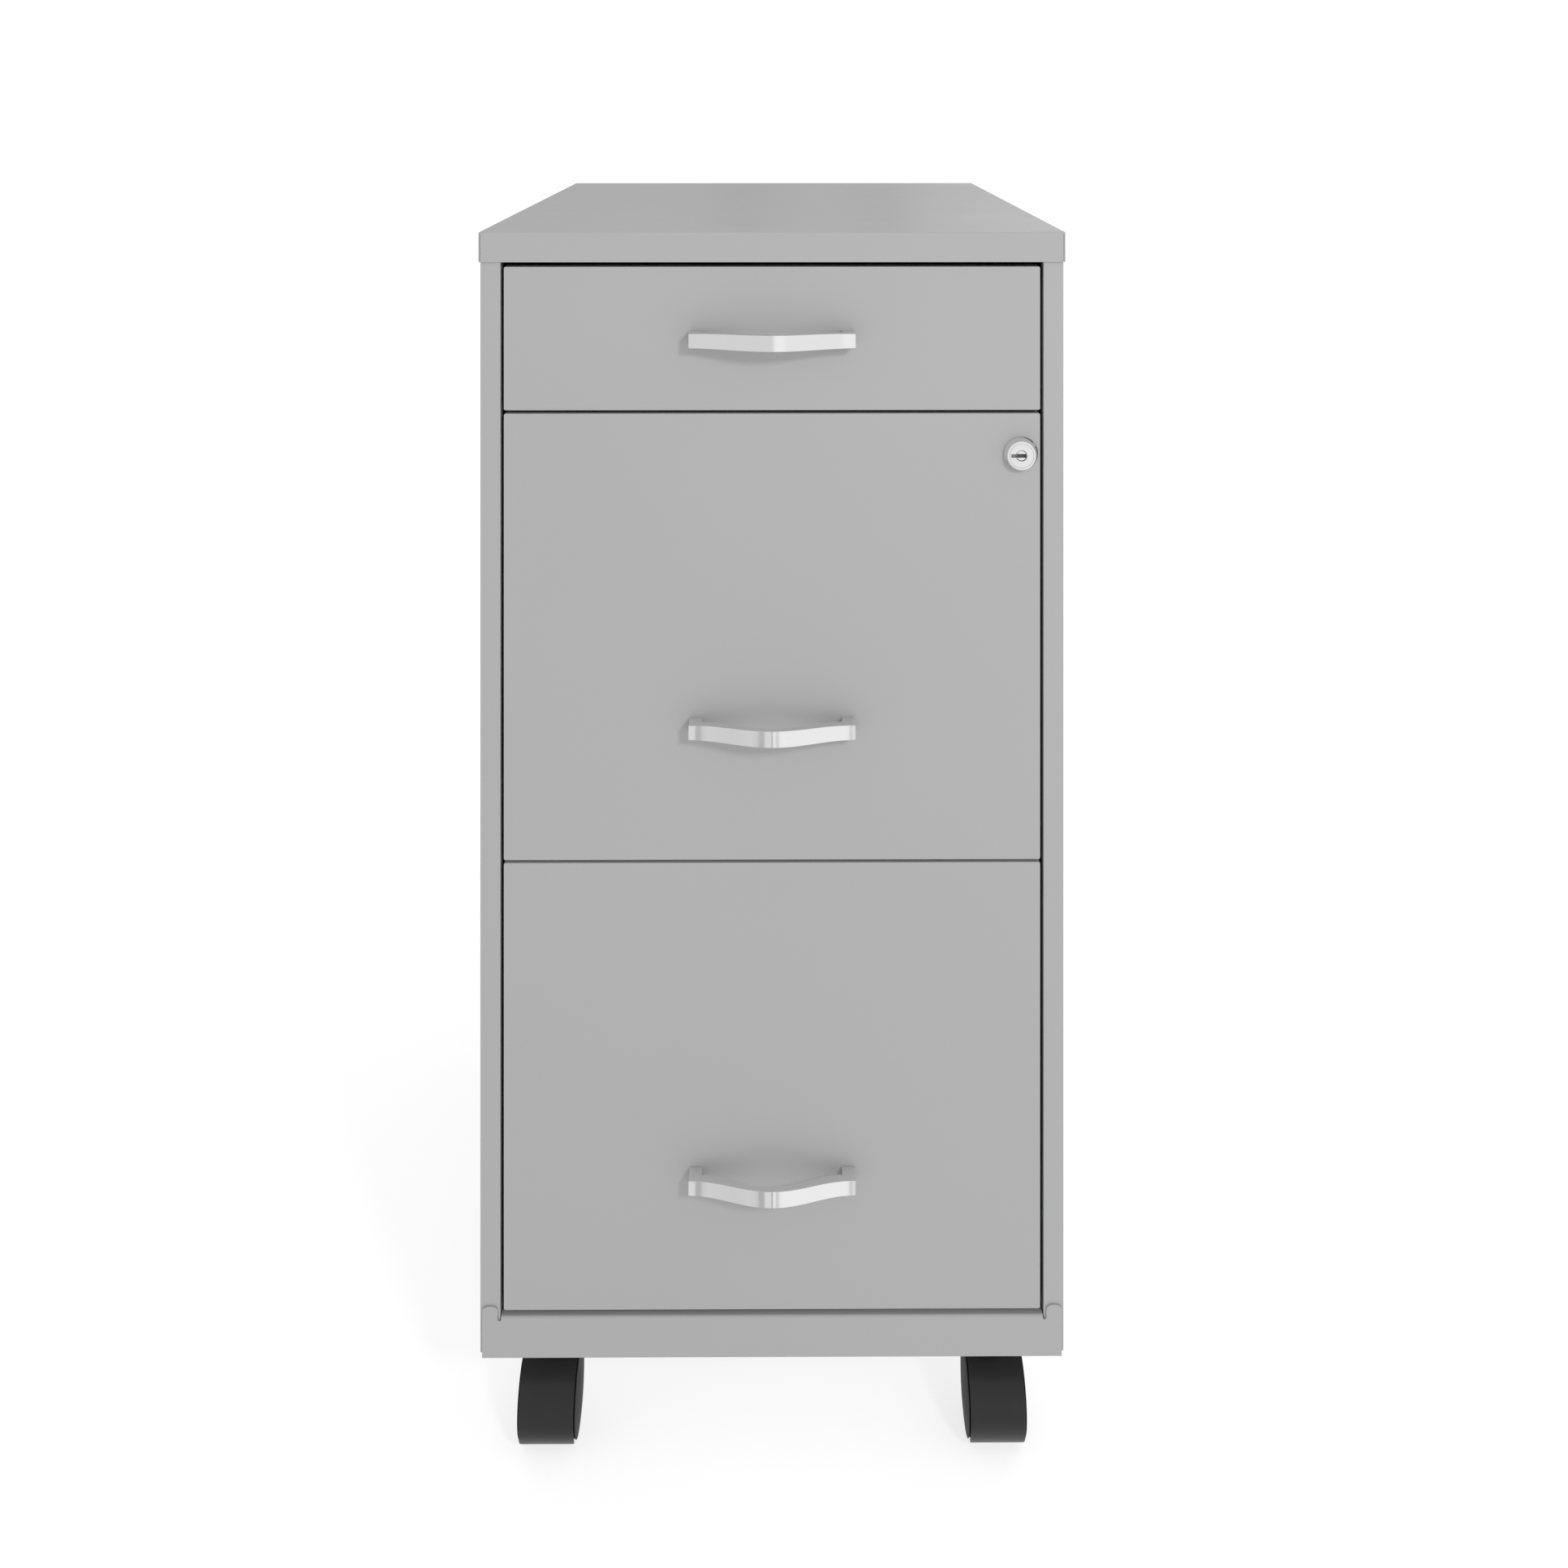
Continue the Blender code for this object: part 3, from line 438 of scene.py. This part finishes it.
def build_side(side, sign):
    """A side panel: its wall, the stile folded across the front and the return behind the stile."""
    low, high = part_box(f"{side}_side_panel")
    wall, opening = (low.x, high.x) if sign < 0 else (high.x, low.x)
    points = [(opening, low.y + STILE_RETURN), (opening, low.y), (wall, low.y), (wall, high.y)]
    panel = add_piece(f"{side}_side_shell", folded_shape(points, SIDE_FOLD, low.z, high.z, Matrix()),
                      CASE_PAINT, "case", "case_paint", f"{side}_side_panel")
    thicken(panel, SHEET, sign)
    settle(panel)
    smooth(panel)


def build_back():
    low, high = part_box("back_panel")
    points = [(low.x, low.y), (low.x, high.y), (high.x, high.y), (high.x, low.y)]
    back = add_piece("back_shell", folded_shape(points, BACK_FOLD, low.z, high.z, Matrix()), CASE_PAINT,
                     "case", "case_paint", "back_panel")
    thicken(back, SHEET, -1)
    settle(back)
    smooth(back)


def build_base():
    low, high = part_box("base_pan")
    points = [(low.x, high.z), (low.x, low.z), (high.x, low.z), (high.x, high.z)]
    base = add_piece("base_shell", folded_shape(points, BASE_FOLD, -high.y, -low.y, ACROSS_Y), CASE_PAINT,
                     "case", "case_paint", "base_pan")
    thicken(base, SHEET, 1)
    settle(base)
    smooth(base)


def build_bottom_rail():
    """One sheet: a front face with rounded ears, and its top and bottom edges folded back."""
    low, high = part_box("front_bottom_rail")
    ear_width, ear_rise, notch_width, notch_bottom = 9.5 * MM, 2.6 * MM, 2.1 * MM, 93.0 * MM
    rail_top, top_fold, bottom_fold, top_flange = 95.6 * MM, 1.6 * MM, 0.9 * MM, 13 * MM
    shortest_fold, fold_steps = 0.3, 6
    half, ear_half, notch_half = high.x, ear_width / 2, notch_width / 2
    ear_x, notch_x = half - ear_half, half - ear_width - notch_half
    ear = [(ear_x + ear_half * math.cos(a), high.z - ear_rise + ear_rise * math.sin(a))
           for a in (math.pi * i / 16 for i in range(17))]
    notch = arc((notch_x, notch_bottom + notch_half), notch_half, 0, -math.pi, 10)
    right = [(half, low.z + bottom_fold), *ear, *notch, (notch_x - notch_half, rail_top - top_fold)]
    outline = right + [(-x, z) for x, z in reversed(right)]
    bm = bmesh.new()
    bm.faces.new([bm.verts.new((x, low.y, z)) for x, z in outline])
    bmesh.ops.recalc_face_normals(bm, faces=bm.faces)
    for face in bm.faces:
        if face.normal.y > 0:
            face.normal_flip()

    def fold(height, radius, upwards, flange):
        level = {v for v in bm.verts if abs(v.co.z - height) < TOUCH and abs(v.co.y - low.y) < TOUCH}
        edges = [e for e in bm.edges if set(e.verts) <= level and e.calc_length() > shortest_fold]
        for i in range(fold_steps):
            a, b = (math.pi / 2 * k / fold_steps for k in (i, i + 1))
            step = (0, radius * (math.cos(a) - math.cos(b)), upwards * radius * (math.sin(b) - math.sin(a)))
            edges = extrude_edges(bm, edges, step)
        extrude_edges(bm, edges, (0, flange - radius, 0))

    fold(rail_top - top_fold, top_fold, 1, top_flange)
    fold(low.z + bottom_fold, bottom_fold, -1, high.y - low.y)
    rail = add_piece("rail_shell", bm, CASE_PAINT, "case", "case_paint", "front_bottom_rail")
    thicken(rail, SHEET, -1)
    settle(rail)
    smooth(rail)


# The drawers -------------------------------------------------------------------------------------------

FRONT_POST = 1.2 * MM
FRONT_FOLD = 0.45 * MM
TRAY_POST = 2.0 * MM
TRAY_FOLD = 1.6 * MM
TRAY_RIM = 5 * MM
TRAY_ROLL = 1.2 * MM
LOCK_HOLE_RADIUS = 10.2 * MM
LOCK_HOLE_OFFSET = Vector((0.7 * MM, 0, 0.1 * MM))


def build_drawer(drawer):
    low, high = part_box(f"{drawer}_front")
    shape = pan_shape(low, high, open_axis=1, open_end=1, post_radius=FRONT_POST, fold_radius=FRONT_FOLD,
                      post_steps=5, fold_steps=4)
    front = add_piece(f"{drawer}_front_shell", shape, DRAWER_PAINT, drawer, "drawer_paint", f"{drawer}_front")
    thicken(front, SHEET, -1)
    settle(front)
    if drawer == "middle_drawer":
        placing = Matrix.Translation(lock_axis() + LOCK_HOLE_OFFSET) @ ACROSS_Y
        cut(front, cylinder_shape(LOCK_HOLE_RADIUS, 8 * MM, placing, 64))
    smooth(front)
    build_body(drawer)
    build_handle(drawer)


def build_body(drawer):
    """The tray: round posts and folds, with a rim turned outwards along both sides."""
    low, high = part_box(f"{drawer}_body")
    low.x, high.x = low.x + TRAY_RIM, high.x - TRAY_RIM
    bm = pan_shape(low, high, open_axis=2, open_end=1, post_radius=TRAY_POST, fold_radius=TRAY_FOLD)
    shortest_side, beside, roll_steps = 0.2, 0.1 * MM, 4
    for sign in (-1, 1):
        edges = [e for e in bm.edges if e.is_boundary and e.calc_length() > shortest_side
                 and all(abs(v.co.x) > high.x - beside and v.co.x * sign > 0 for v in e.verts)]
        bmesh.ops.translate(bm, verts=list({v for e in edges for v in e.verts}), vec=(0, 0, -TRAY_ROLL))
        for i in range(roll_steps):
            a, b = (math.pi / 2 * k / roll_steps for k in (i, i + 1))
            edges = extrude_edges(bm, edges, (sign * TRAY_ROLL * (math.cos(a) - math.cos(b)), 0,
                                              TRAY_ROLL * (math.sin(b) - math.sin(a))))
        extrude_edges(bm, edges, (sign * (TRAY_RIM - TRAY_ROLL), 0, 0))
    body = add_piece(f"{drawer}_tray", bm, DRAWER_PAINT, drawer, "drawer_paint", f"{drawer}_body")
    thicken(body, SHEET, -1)
    settle(body)
    smooth(body)


def bow(x, half, end_reach, full_reach):
    """How far out a contour of the handle stands at x: full in the middle, and level towards its ends."""
    swell = 0.5 + 0.5 * math.cos(math.pi * min(abs(x) / half, 1))
    return end_reach + (full_reach - end_reach) * swell


def build_handle(drawer):
    """A flat bar bowed in plan and deepest in the middle, with a foot at each end and its edges eased."""
    low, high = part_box(f"{drawer}_handle")
    half, foot, bow_half = high.x, 8 * MM, 50 * MM
    finger_half, reach, seat = half - foot, FACE_Y - low.y, high.y
    end_reach, finger_end_reach, finger_reach = 12.8 * MM, 7.4 * MM, 18.6 * MM
    outer_steps, inner_steps = 36, 24
    outer = [half * i / outer_steps for i in range(-outer_steps, outer_steps + 1)]
    inner = [finger_half * i / inner_steps for i in range(inner_steps, -inner_steps - 1, -1)]
    outline = [(x, FACE_Y - bow(x, bow_half, end_reach, reach)) for x in outer]
    outline += [(half, seat), (finger_half, seat)]
    outline += [(x, FACE_Y - bow(x, finger_half, finger_end_reach, finger_reach)) for x in inner]
    outline += [(-finger_half, seat), (-half, seat)]
    bm = plate_shape(outline, low.z, high.z, Matrix())
    middle, taper = (low.z + high.z) / 2, 0.115
    for vert in bm.verts:
        vert.co.z = middle + (vert.co.z - middle) * (1 - taper * (vert.co.x / half) ** 2)
    handle = add_piece(f"{drawer}_bar_handle", bm, HANDLE_CHROME, drawer, "handle_chrome", f"{drawer}_handle")
    soften(handle, 0.12 * MM, 2, 50)
    settle(handle)
    smooth(handle, 40)


# The lock ----------------------------------------------------------------------------------------------

LOCK_REACH = 6.0 * MM
LOCK_TAIL = -20 * MM
LOCK_BORE = 3.35 * MM
CUT_EDGE = Vector((TOUCH, TOUCH, TOUCH))


def lock_axis():
    low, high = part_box("lock_plug")
    return Vector(((low.x + high.x) / 2, FACE_Y, (low.z + high.z) / 2))


def build_lock_housing(axis, placing):
    """The housing: a face with a ring groove and a notch, a round rim, a flared skirt and a barrel."""
    face, rim, collar, barrel, chamfer = 8.4 * MM, 9.0 * MM, 10.25 * MM, 8.0 * MM, 0.2 * MM
    ring_in, ring_out, ring_depth, ring_slope = 7.2 * MM, 7.6 * MM, 0.45 * MM, 0.06 * MM
    rim_drop, skirt_drop, skirt_flare, collar_edge, collar_ease = 0.6 * MM, 1.8 * MM, 1.6, 0.35 * MM, 0.1 * MM
    profile = [(LOCK_BORE + chamfer, LOCK_REACH), (ring_in, LOCK_REACH),
               (ring_in + ring_slope, LOCK_REACH - ring_depth),
               (ring_out - ring_slope, LOCK_REACH - ring_depth), (ring_out, LOCK_REACH), (face, LOCK_REACH)]
    profile += [(face + (rim - face) * math.sin(a), LOCK_REACH - (rim - face) * (1 - math.cos(a)))
                for a in (math.pi / 2 * i / 6 for i in range(1, 7))]
    profile += [(rim + (collar - rim) * t ** skirt_flare,
                 LOCK_REACH - rim_drop - (LOCK_REACH - skirt_drop) * t) for t in (i / 8 for i in range(1, 9))]
    profile += [(collar, collar_edge), (collar - collar_ease, GAP), (barrel, GAP), (barrel, LOCK_TAIL),
                (LOCK_BORE, LOCK_TAIL), (LOCK_BORE, LOCK_REACH - chamfer)]
    housing = add_piece("lock_housing_body", turned_shape(profile, placing, 96), LOCK_CHROME, "middle_drawer",
                        "lock_chrome", "lock_housing")
    # The ring groove's faces are painted a darker chrome, for the shade in the groove.
    line_ring(housing, RING_PAINTED_SHADE, axis, ring_in, ring_out, FACE_Y - LOCK_REACH, FACE_Y - LOCK_REACH + MM)
    notch_end, notch_start, notch_half, notch_depth = 6.4 * MM, 3.2 * MM, 1.05 * MM, 1.2 * MM
    low = Vector((axis.x - notch_end, FACE_Y - LOCK_REACH - MM, axis.z - notch_half))
    high = Vector((axis.x - notch_start, FACE_Y - LOCK_REACH + notch_depth, axis.z + notch_half))
    cut(housing, box_shape(low, high))
    # The notch's faces are painted grey, for the shade inside it.
    line_with(housing, NOTCH_PAINTED_SHADE, low - CUT_EDGE, high + CUT_EDGE)
    smooth(housing, 30)


def build_lock_plug(axis, placing):
    """The plug, with the keyway cut across its face."""
    front, radius, ease, tail = LOCK_REACH - 0.35 * MM, 3.1 * MM, 0.3 * MM, -24.2 * MM
    profile = [(0, front), (radius - ease, front), (radius, front - ease), (radius, tail), (0, tail)]
    plug = add_piece("lock_plug_body", turned_shape(profile, placing, 64, False), LOCK_CHROME, "lock_core",
                     "lock_chrome", "lock_plug")
    keyway_half, keyway_rise, keyway_depth = 2.8 * MM, 1.15 * MM, 3 * MM
    low = Vector((axis.x - keyway_half, FACE_Y - LOCK_REACH - MM, axis.z - keyway_rise))
    high = Vector((axis.x + keyway_half, FACE_Y - LOCK_REACH + keyway_depth, axis.z + keyway_rise))
    cut(plug, box_shape(low, high))
    # The keyway's walls and floor are painted dark, for the shade in the slot.
    line_with(plug, KEYWAY_PAINTED_SHADE, low - CUT_EDGE, high + CUT_EDGE)
    smooth(plug, 30)


def build_lock():
    axis = lock_axis()
    placing = Matrix.Translation(axis) @ ACROSS_Y
    build_lock_housing(axis, placing)
    build_lock_plug(axis, placing)


# The casters -------------------------------------------------------------------------------------------

TRAIL = 20 * MM
BOSS_LOW = 44.5 * MM
BOSS_HIGH = 62 * MM
BOSS_RADIUS = 8 * MM


def build_caster(corner):
    axle_low, axle_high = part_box(f"{corner}_caster_axle")
    axle = (axle_low + axle_high) / 2
    placing = Matrix.Translation(axle) @ ACROSS_X
    build_band(corner, placing)
    build_web(corner, axle, placing)
    build_boss(corner, axle)
    for side, sign in (("inner", -math.copysign(1, axle.x)), ("outer", math.copysign(1, axle.x))):
        build_wheel(corner, side, axle, sign)


def build_band(corner, placing):
    """The hood's cover: a thin band with rounded ends, bent round the axle."""
    radius, width, corner_radius, thickness = 25.3 * MM, 34 * MM, 2.4 * MM, 1.4 * MM
    start, end = math.radians(-46), math.radians(188)
    corner_steps, band_steps = 6, 60
    length = radius * (end - start)
    near = [corner_radius * (1 - math.cos(math.pi / 2 * i / corner_steps)) for i in range(corner_steps + 1)]
    straight = [corner_radius + (length - 2 * corner_radius) * i / band_steps for i in range(1, band_steps)]
    stations = near + straight + [length - s for s in reversed(near)]
    bm = bmesh.new()
    rows = []
    for s in stations:
        edge = min(s, length - s)
        dip = corner_radius - edge
        inset = corner_radius - math.sqrt(max(corner_radius ** 2 - dip ** 2, 0)) if dip > 0 else 0
        half = width / 2 - inset
        angle = start + s / radius
        rows.append([bm.verts.new((-radius * math.cos(angle), radius * math.sin(angle), half * t))
                     for t in (-1, -0.5, 0, 0.5, 1)])
    for one, two in zip(rows, rows[1:]):
        for a, b, c, d in zip(one, one[1:], two[1:], two):
            bm.faces.new((a, b, c, d))
    bmesh.ops.recalc_face_normals(bm, faces=bm.faces)
    probe = max(bm.faces, key=lambda f: f.calc_center_median().y)
    if probe.normal.y < 0:
        bmesh.ops.reverse_faces(bm, faces=bm.faces)
    bm.transform(placing)
    band = add_piece(f"{corner}_hood_band", bm, HOOD_NYLON, f"{corner}_caster", "caster_nylon",
                     f"{corner}_caster_hood")
    thicken(band, thickness, -1)
    soften(band, 0.3 * MM, 2, 50)
    settle(band)
    smooth(band, 40)


def build_web(corner, axle, placing):
    """The hood's web: a plate between the wheels that joins the band, the axle's eye and the boss."""
    middle, eye, half, boss_back, boss_lap, shoulder = 24.6 * MM, 8 * MM, 3 * MM, 27 * MM, MM, 6 * MM
    boss_low = BOSS_LOW - axle.z

    def around(reach, first, last, steps):
        return [(-y, z) for y, z in arc((0, 0), reach, math.radians(first), math.radians(last), steps)]

    outline = around(middle, -40, 90, 24)
    outline += [(TRAIL - BOSS_RADIUS, boss_low + boss_lap), (boss_back, boss_low + boss_lap),
                (boss_back, boss_low - shoulder), (middle * math.cos(math.radians(8)), 0)]
    outline += around(eye, 180, 360, 16)[1:-1]
    web = add_piece(f"{corner}_hood_web", plate_shape(outline, -half, half, placing), HOOD_NYLON,
                    f"{corner}_caster", "caster_nylon", f"{corner}_caster_hood")
    soften(web, 0.4 * MM, 2, 50)
    settle(web)
    smooth(web, 40)


def build_boss(corner, axle):
    """The hood's boss: a socket for the mount's stem, with its top edge eased."""
    socket, ease = 5.85 * MM, 0.8 * MM
    profile = [(socket, BOSS_HIGH), (BOSS_RADIUS - ease, BOSS_HIGH)]
    profile += [(BOSS_RADIUS - ease + ease * math.sin(a), BOSS_HIGH - ease + ease * math.cos(a))
                for a in (math.pi / 2 * i / 4 for i in range(1, 5))]
    profile += [(BOSS_RADIUS, BOSS_LOW), (socket, BOSS_LOW)]
    placing = Matrix.Translation((axle.x, axle.y + TRAIL, 0))
    boss = add_piece(f"{corner}_hood_boss", turned_shape(profile, placing, 48), HOOD_NYLON,
                     f"{corner}_caster", "caster_nylon", f"{corner}_caster_hood")
    smooth(boss, 40)


def build_wheel(corner, side, axle, sign):
    """A wheel: a round-edged tread, then a domed cap of slightly smaller radius that closes the bore."""
    inner, outer, rim_x, cap = 3.5 * MM, 19.4 * MM, 17.95 * MM, 23.35 * MM
    neck, neck_in, neck_out, neck_slope = 22.3 * MM, 16.9 * MM, 17.55 * MM, 0.1 * MM
    radius, bore, bore_end, ease, shoulder = 23.5 * MM, 3.35 * MM, 17.8 * MM, 1.3 * MM, 2.2 * MM
    quarter = [math.pi / 2 * i / 5 for i in range(6)]
    lip = 0.2 * MM
    profile = [((cap - lip) * t, outer - (outer - rim_x) * t ** 2) for t in (i / 16 for i in range(17))]
    profile += [(cap, rim_x - lip), (cap, neck_out), (neck, neck_out - neck_slope), (neck, neck_in)]
    profile += [(neck + (radius - neck) * math.sin(a), neck_in - shoulder * (1 - math.cos(a)))
                for a in quarter[1:]]
    profile += [(radius - ease + ease * math.cos(a), inner + ease - ease * math.sin(a)) for a in quarter]
    profile += [(bore, inner), (bore, bore_end), (0, bore_end)]
    turn = Matrix.Rotation(0 if sign > 0 else math.pi, 4, "Y")
    placing = Matrix.Translation(axle) @ turn @ ACROSS_X
    wheel = add_piece(f"{corner}_{side}_wheel_body", turned_shape(profile, placing, 96, False), WHEEL_NYLON,
                      f"{corner}_{side}_wheel", "wheel_nylon", f"{corner}_caster_{side}_wheel")
    smooth(wheel, 30)


# Finishes of the CAD nodes that are shown as they are ---------------------------------------------------

def dress(name, material):
    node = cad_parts[name]
    for slot in node.material_slots:
        slot.material = material
    node.data.shade_smooth()
    node.data.set_sharp_from_angle(angle=math.radians(30))


def dress_nodes():
    for drawer in DRAWERS:
        for side in ("left", "right"):
            dress(f"{drawer}_{side}_channel", ZINC)
            dress(f"{drawer}_{side}_runner", ZINC)
            dress(f"{drawer}_{side}_screw", STEEL)
    for node in ("lock_nut", "lock_cam", "lock_cam_screw"):
        dress(node, STEEL)
    for corner in CORNERS:
        dress(f"{corner}_caster_mount", ZINC)
        dress(f"{corner}_caster_axle", STEEL)


# Floor, light and camera --------------------------------------------------------------------------------

# Greys of the light tent by degrees round from the front: its low panels, its walls and its roof.
TENT_STRENGTH = 0.85
TENT_PANELS = [(-180, 0.8), (-60, 0.85), (-36, 0.76), (-26, 0.80), (-19, 0.74), (-16.5, 0.54), (-11, 0.54),
               (-9.5, 0.86), (-1.2, 0.88), (-0.6, 0.30), (0.6, 0.30), (1.2, 1.05), (4.0, 1.05), (5.2, 0.77),
               (8.5, 0.77), (9.7, 1.02), (14, 1.08), (36, 1.08), (60, 1.0), (180, 0.8)]
TENT_WALLS = [(-180, 0.54), (-179.4, 0.46), (-178.8, 0.46), (-178.0, 0.56), (-175.6, 0.56), (-175.2, 0.49),
              (-174.8, 0.57), (-172, 0.55), (-120, 0.60), (-60, 0.75), (-36, 0.82), (-2, 0.82), (1, 0.86),
              (2.5, 1.0), (6, 1.08), (14, 1.08), (20, 1.0), (36, 1.0), (60, 0.85), (120, 0.75), (171, 0.80),
              (175.0, 0.66), (175.8, 0.53), (176.6, 0.53), (178, 0.60), (180, 0.54)]
TENT_ROOF = [(-180, 1.15), (-90, 0.80), (0, 0.85), (90, 1.05), (180, 1.15)]
BACKDROP_STRENGTH = 1.05
KEY_PLACE = (0.95, -2.1, 1.65)
KEY_TARGET = (0, 0, 0.4)
KEY_SIZE = (0.3, 0.3)
KEY_POWER = 17
FLOOR_SHADE = 0.40
FLOOR_GLOW = 0.72
FLOOR_DROP = 0.5 * MM
CAMERA_SENSOR = 36
CAMERA_LENS = 35.14
CAMERA_SHIFT = -0.4478
CAMERA_DISTANCE = 943.1 * MM
CAMERA_RISE = 92.6 * MM
CAMERA_SIDE = 3.26 * MM
CAMERA_TURN = -0.246


def build_floor():
    bm = bmesh.new()
    bmesh.ops.create_grid(bm, x_segments=1, y_segments=1, size=40)
    mesh = bpy.data.meshes.new("studio_floor")
    bm.to_mesh(mesh)
    bm.free()
    floor = bpy.data.objects.new("studio_floor", mesh)
    floor.location.z = -FLOOR_DROP
    bpy.context.scene.collection.objects.link(floor)
    shade = (FLOOR_SHADE, FLOOR_SHADE, FLOOR_SHADE)
    material, _, shader = new_material("studio_white", shade, metallic=0.0, roughness=0.9)
    shader.inputs["Specular IOR Level"].default_value = 0.0
    shader.inputs["Emission Color"].default_value = (1, 1, 1, 1)
    shader.inputs["Emission Strength"].default_value = FLOOR_GLOW
    mesh.materials.append(material)
    floor.visible_glossy = False


def area_light(name, location, target, size, power):
    light = bpy.data.lights.new(name, "AREA")
    light.shape = "RECTANGLE"
    light.size, light.size_y = size
    light.energy = power
    lamp = bpy.data.objects.new(name, light)
    lamp.visible_camera = False
    lamp.visible_glossy = False
    lamp.location = location
    lamp.rotation_euler = (Vector(target) - Vector(location)).to_track_quat("-Z", "Y").to_euler()
    bpy.context.scene.collection.objects.link(lamp)


def shade_ramp(tree, factor, stops):
    """A ramp of greys round the tent, from (degrees, grey) stops."""
    stops = [(0.5 + degrees / 360, grey) for degrees, grey in stops]
    node = tree.nodes.new("ShaderNodeValToRGB")
    points = node.color_ramp.elements
    for place, grey in stops[1:-1]:
        points.new(place).color = (grey, grey, grey, 1)
    for point, (place, grey) in ((points[0], stops[0]), (points[-1], stops[-1])):
        point.position = place
        point.color = (grey, grey, grey, 1)
    tree.links.new(factor, node.inputs["Fac"])
    return node.outputs["Color"]


def blended(tree, value, start, end, below, above):
    """One colour below the start, another above the end, and a soft change between."""
    rise = tree.nodes.new("ShaderNodeMapRange")
    rise.interpolation_type = "SMOOTHSTEP"
    rise.inputs["From Min"].default_value = start
    rise.inputs["From Max"].default_value = end
    tree.links.new(value, rise.inputs["Value"])
    node = tree.nodes.new("ShaderNodeMix")
    node.data_type = "RGBA"
    tree.links.new(rise.outputs["Result"], node.inputs["Factor"])
    tree.links.new(below, node.inputs["A"])
    tree.links.new(above, node.inputs["B"])
    return node.outputs["Result"]


def calculated(tree, operation, *values):
    node = tree.nodes.new("ShaderNodeMath")
    node.operation = operation
    for socket, value in zip(node.inputs, values):
        if isinstance(value, (int, float)):
            socket.default_value = value
        else:
            tree.links.new(value, socket)
    return node.outputs["Value"]


def build_light():
    """A light tent: upright panels and gaps low round the cabinet, a soft bright roof, and a key light."""
    world = bpy.data.worlds.new("studio")
    bpy.context.scene.world = world
    world.use_nodes = True
    tree = world.node_tree
    tent = tree.nodes["Background"]
    tent.inputs["Strength"].default_value = TENT_STRENGTH
    direction = tree.nodes.new("ShaderNodeSeparateXYZ")
    tree.links.new(tree.nodes.new("ShaderNodeTexCoord").outputs["Generated"], direction.inputs["Vector"])
    x, y, z = (direction.outputs[axis] for axis in "XYZ")
    turn = calculated(tree, "ARCTAN2", x, calculated(tree, "MULTIPLY", y, -1))
    round_place = calculated(tree, "MULTIPLY_ADD", turn, 0.5 / math.pi, 0.5)
    panels = shade_ramp(tree, round_place, TENT_PANELS)
    walls = shade_ramp(tree, round_place, TENT_WALLS)
    roof = shade_ramp(tree, round_place, TENT_ROOF)
    lower = blended(tree, z, -0.45, -0.22, panels, walls)
    tree.links.new(blended(tree, z, 0.12, 0.5, lower, roof), tent.inputs["Color"])
    backdrop = tree.nodes.new("ShaderNodeBackground")
    backdrop.inputs["Color"].default_value = (1, 1, 1, 1)
    backdrop.inputs["Strength"].default_value = BACKDROP_STRENGTH
    seen = tree.nodes.new("ShaderNodeLightPath")
    choice = tree.nodes.new("ShaderNodeMixShader")
    tree.links.new(seen.outputs["Is Camera Ray"], choice.inputs["Fac"])
    tree.links.new(tent.outputs["Background"], choice.inputs[1])
    tree.links.new(backdrop.outputs["Background"], choice.inputs[2])
    tree.links.new(choice.outputs["Shader"], tree.nodes["World Output"].inputs["Surface"])
    area_light("key_right", KEY_PLACE, KEY_TARGET, KEY_SIZE, KEY_POWER)
    bpy.context.scene.view_settings.view_transform = "Standard"


def build_camera():
    """A level camera in front of the cabinet, a little above its top, with the lens shifted down."""
    camera = bpy.data.cameras.new("front_camera")
    camera.sensor_width = CAMERA_SENSOR
    camera.lens = CAMERA_LENS
    camera.shift_y = CAMERA_SHIFT
    camera.clip_start = 0.01
    view = bpy.data.objects.new("front_camera", camera)
    cap_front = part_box("top_cap")[0].y
    view.location = (CAMERA_SIDE, cap_front - CAMERA_DISTANCE, cad_high.z + CAMERA_RISE)
    view.rotation_euler = (math.radians(90), 0, math.radians(CAMERA_TURN))
    bpy.context.scene.collection.objects.link(view)
    bpy.context.scene.camera = view


build_cap()
for side_name, side_sign in (("left", -1), ("right", 1)):
    build_side(side_name, side_sign)
build_back()
build_base()
build_bottom_rail()
for drawer_name in DRAWERS:
    build_drawer(drawer_name)
build_lock()
for corner_name in CORNERS:
    build_caster(corner_name)
dress_nodes()
build_floor()
build_light()
build_camera()
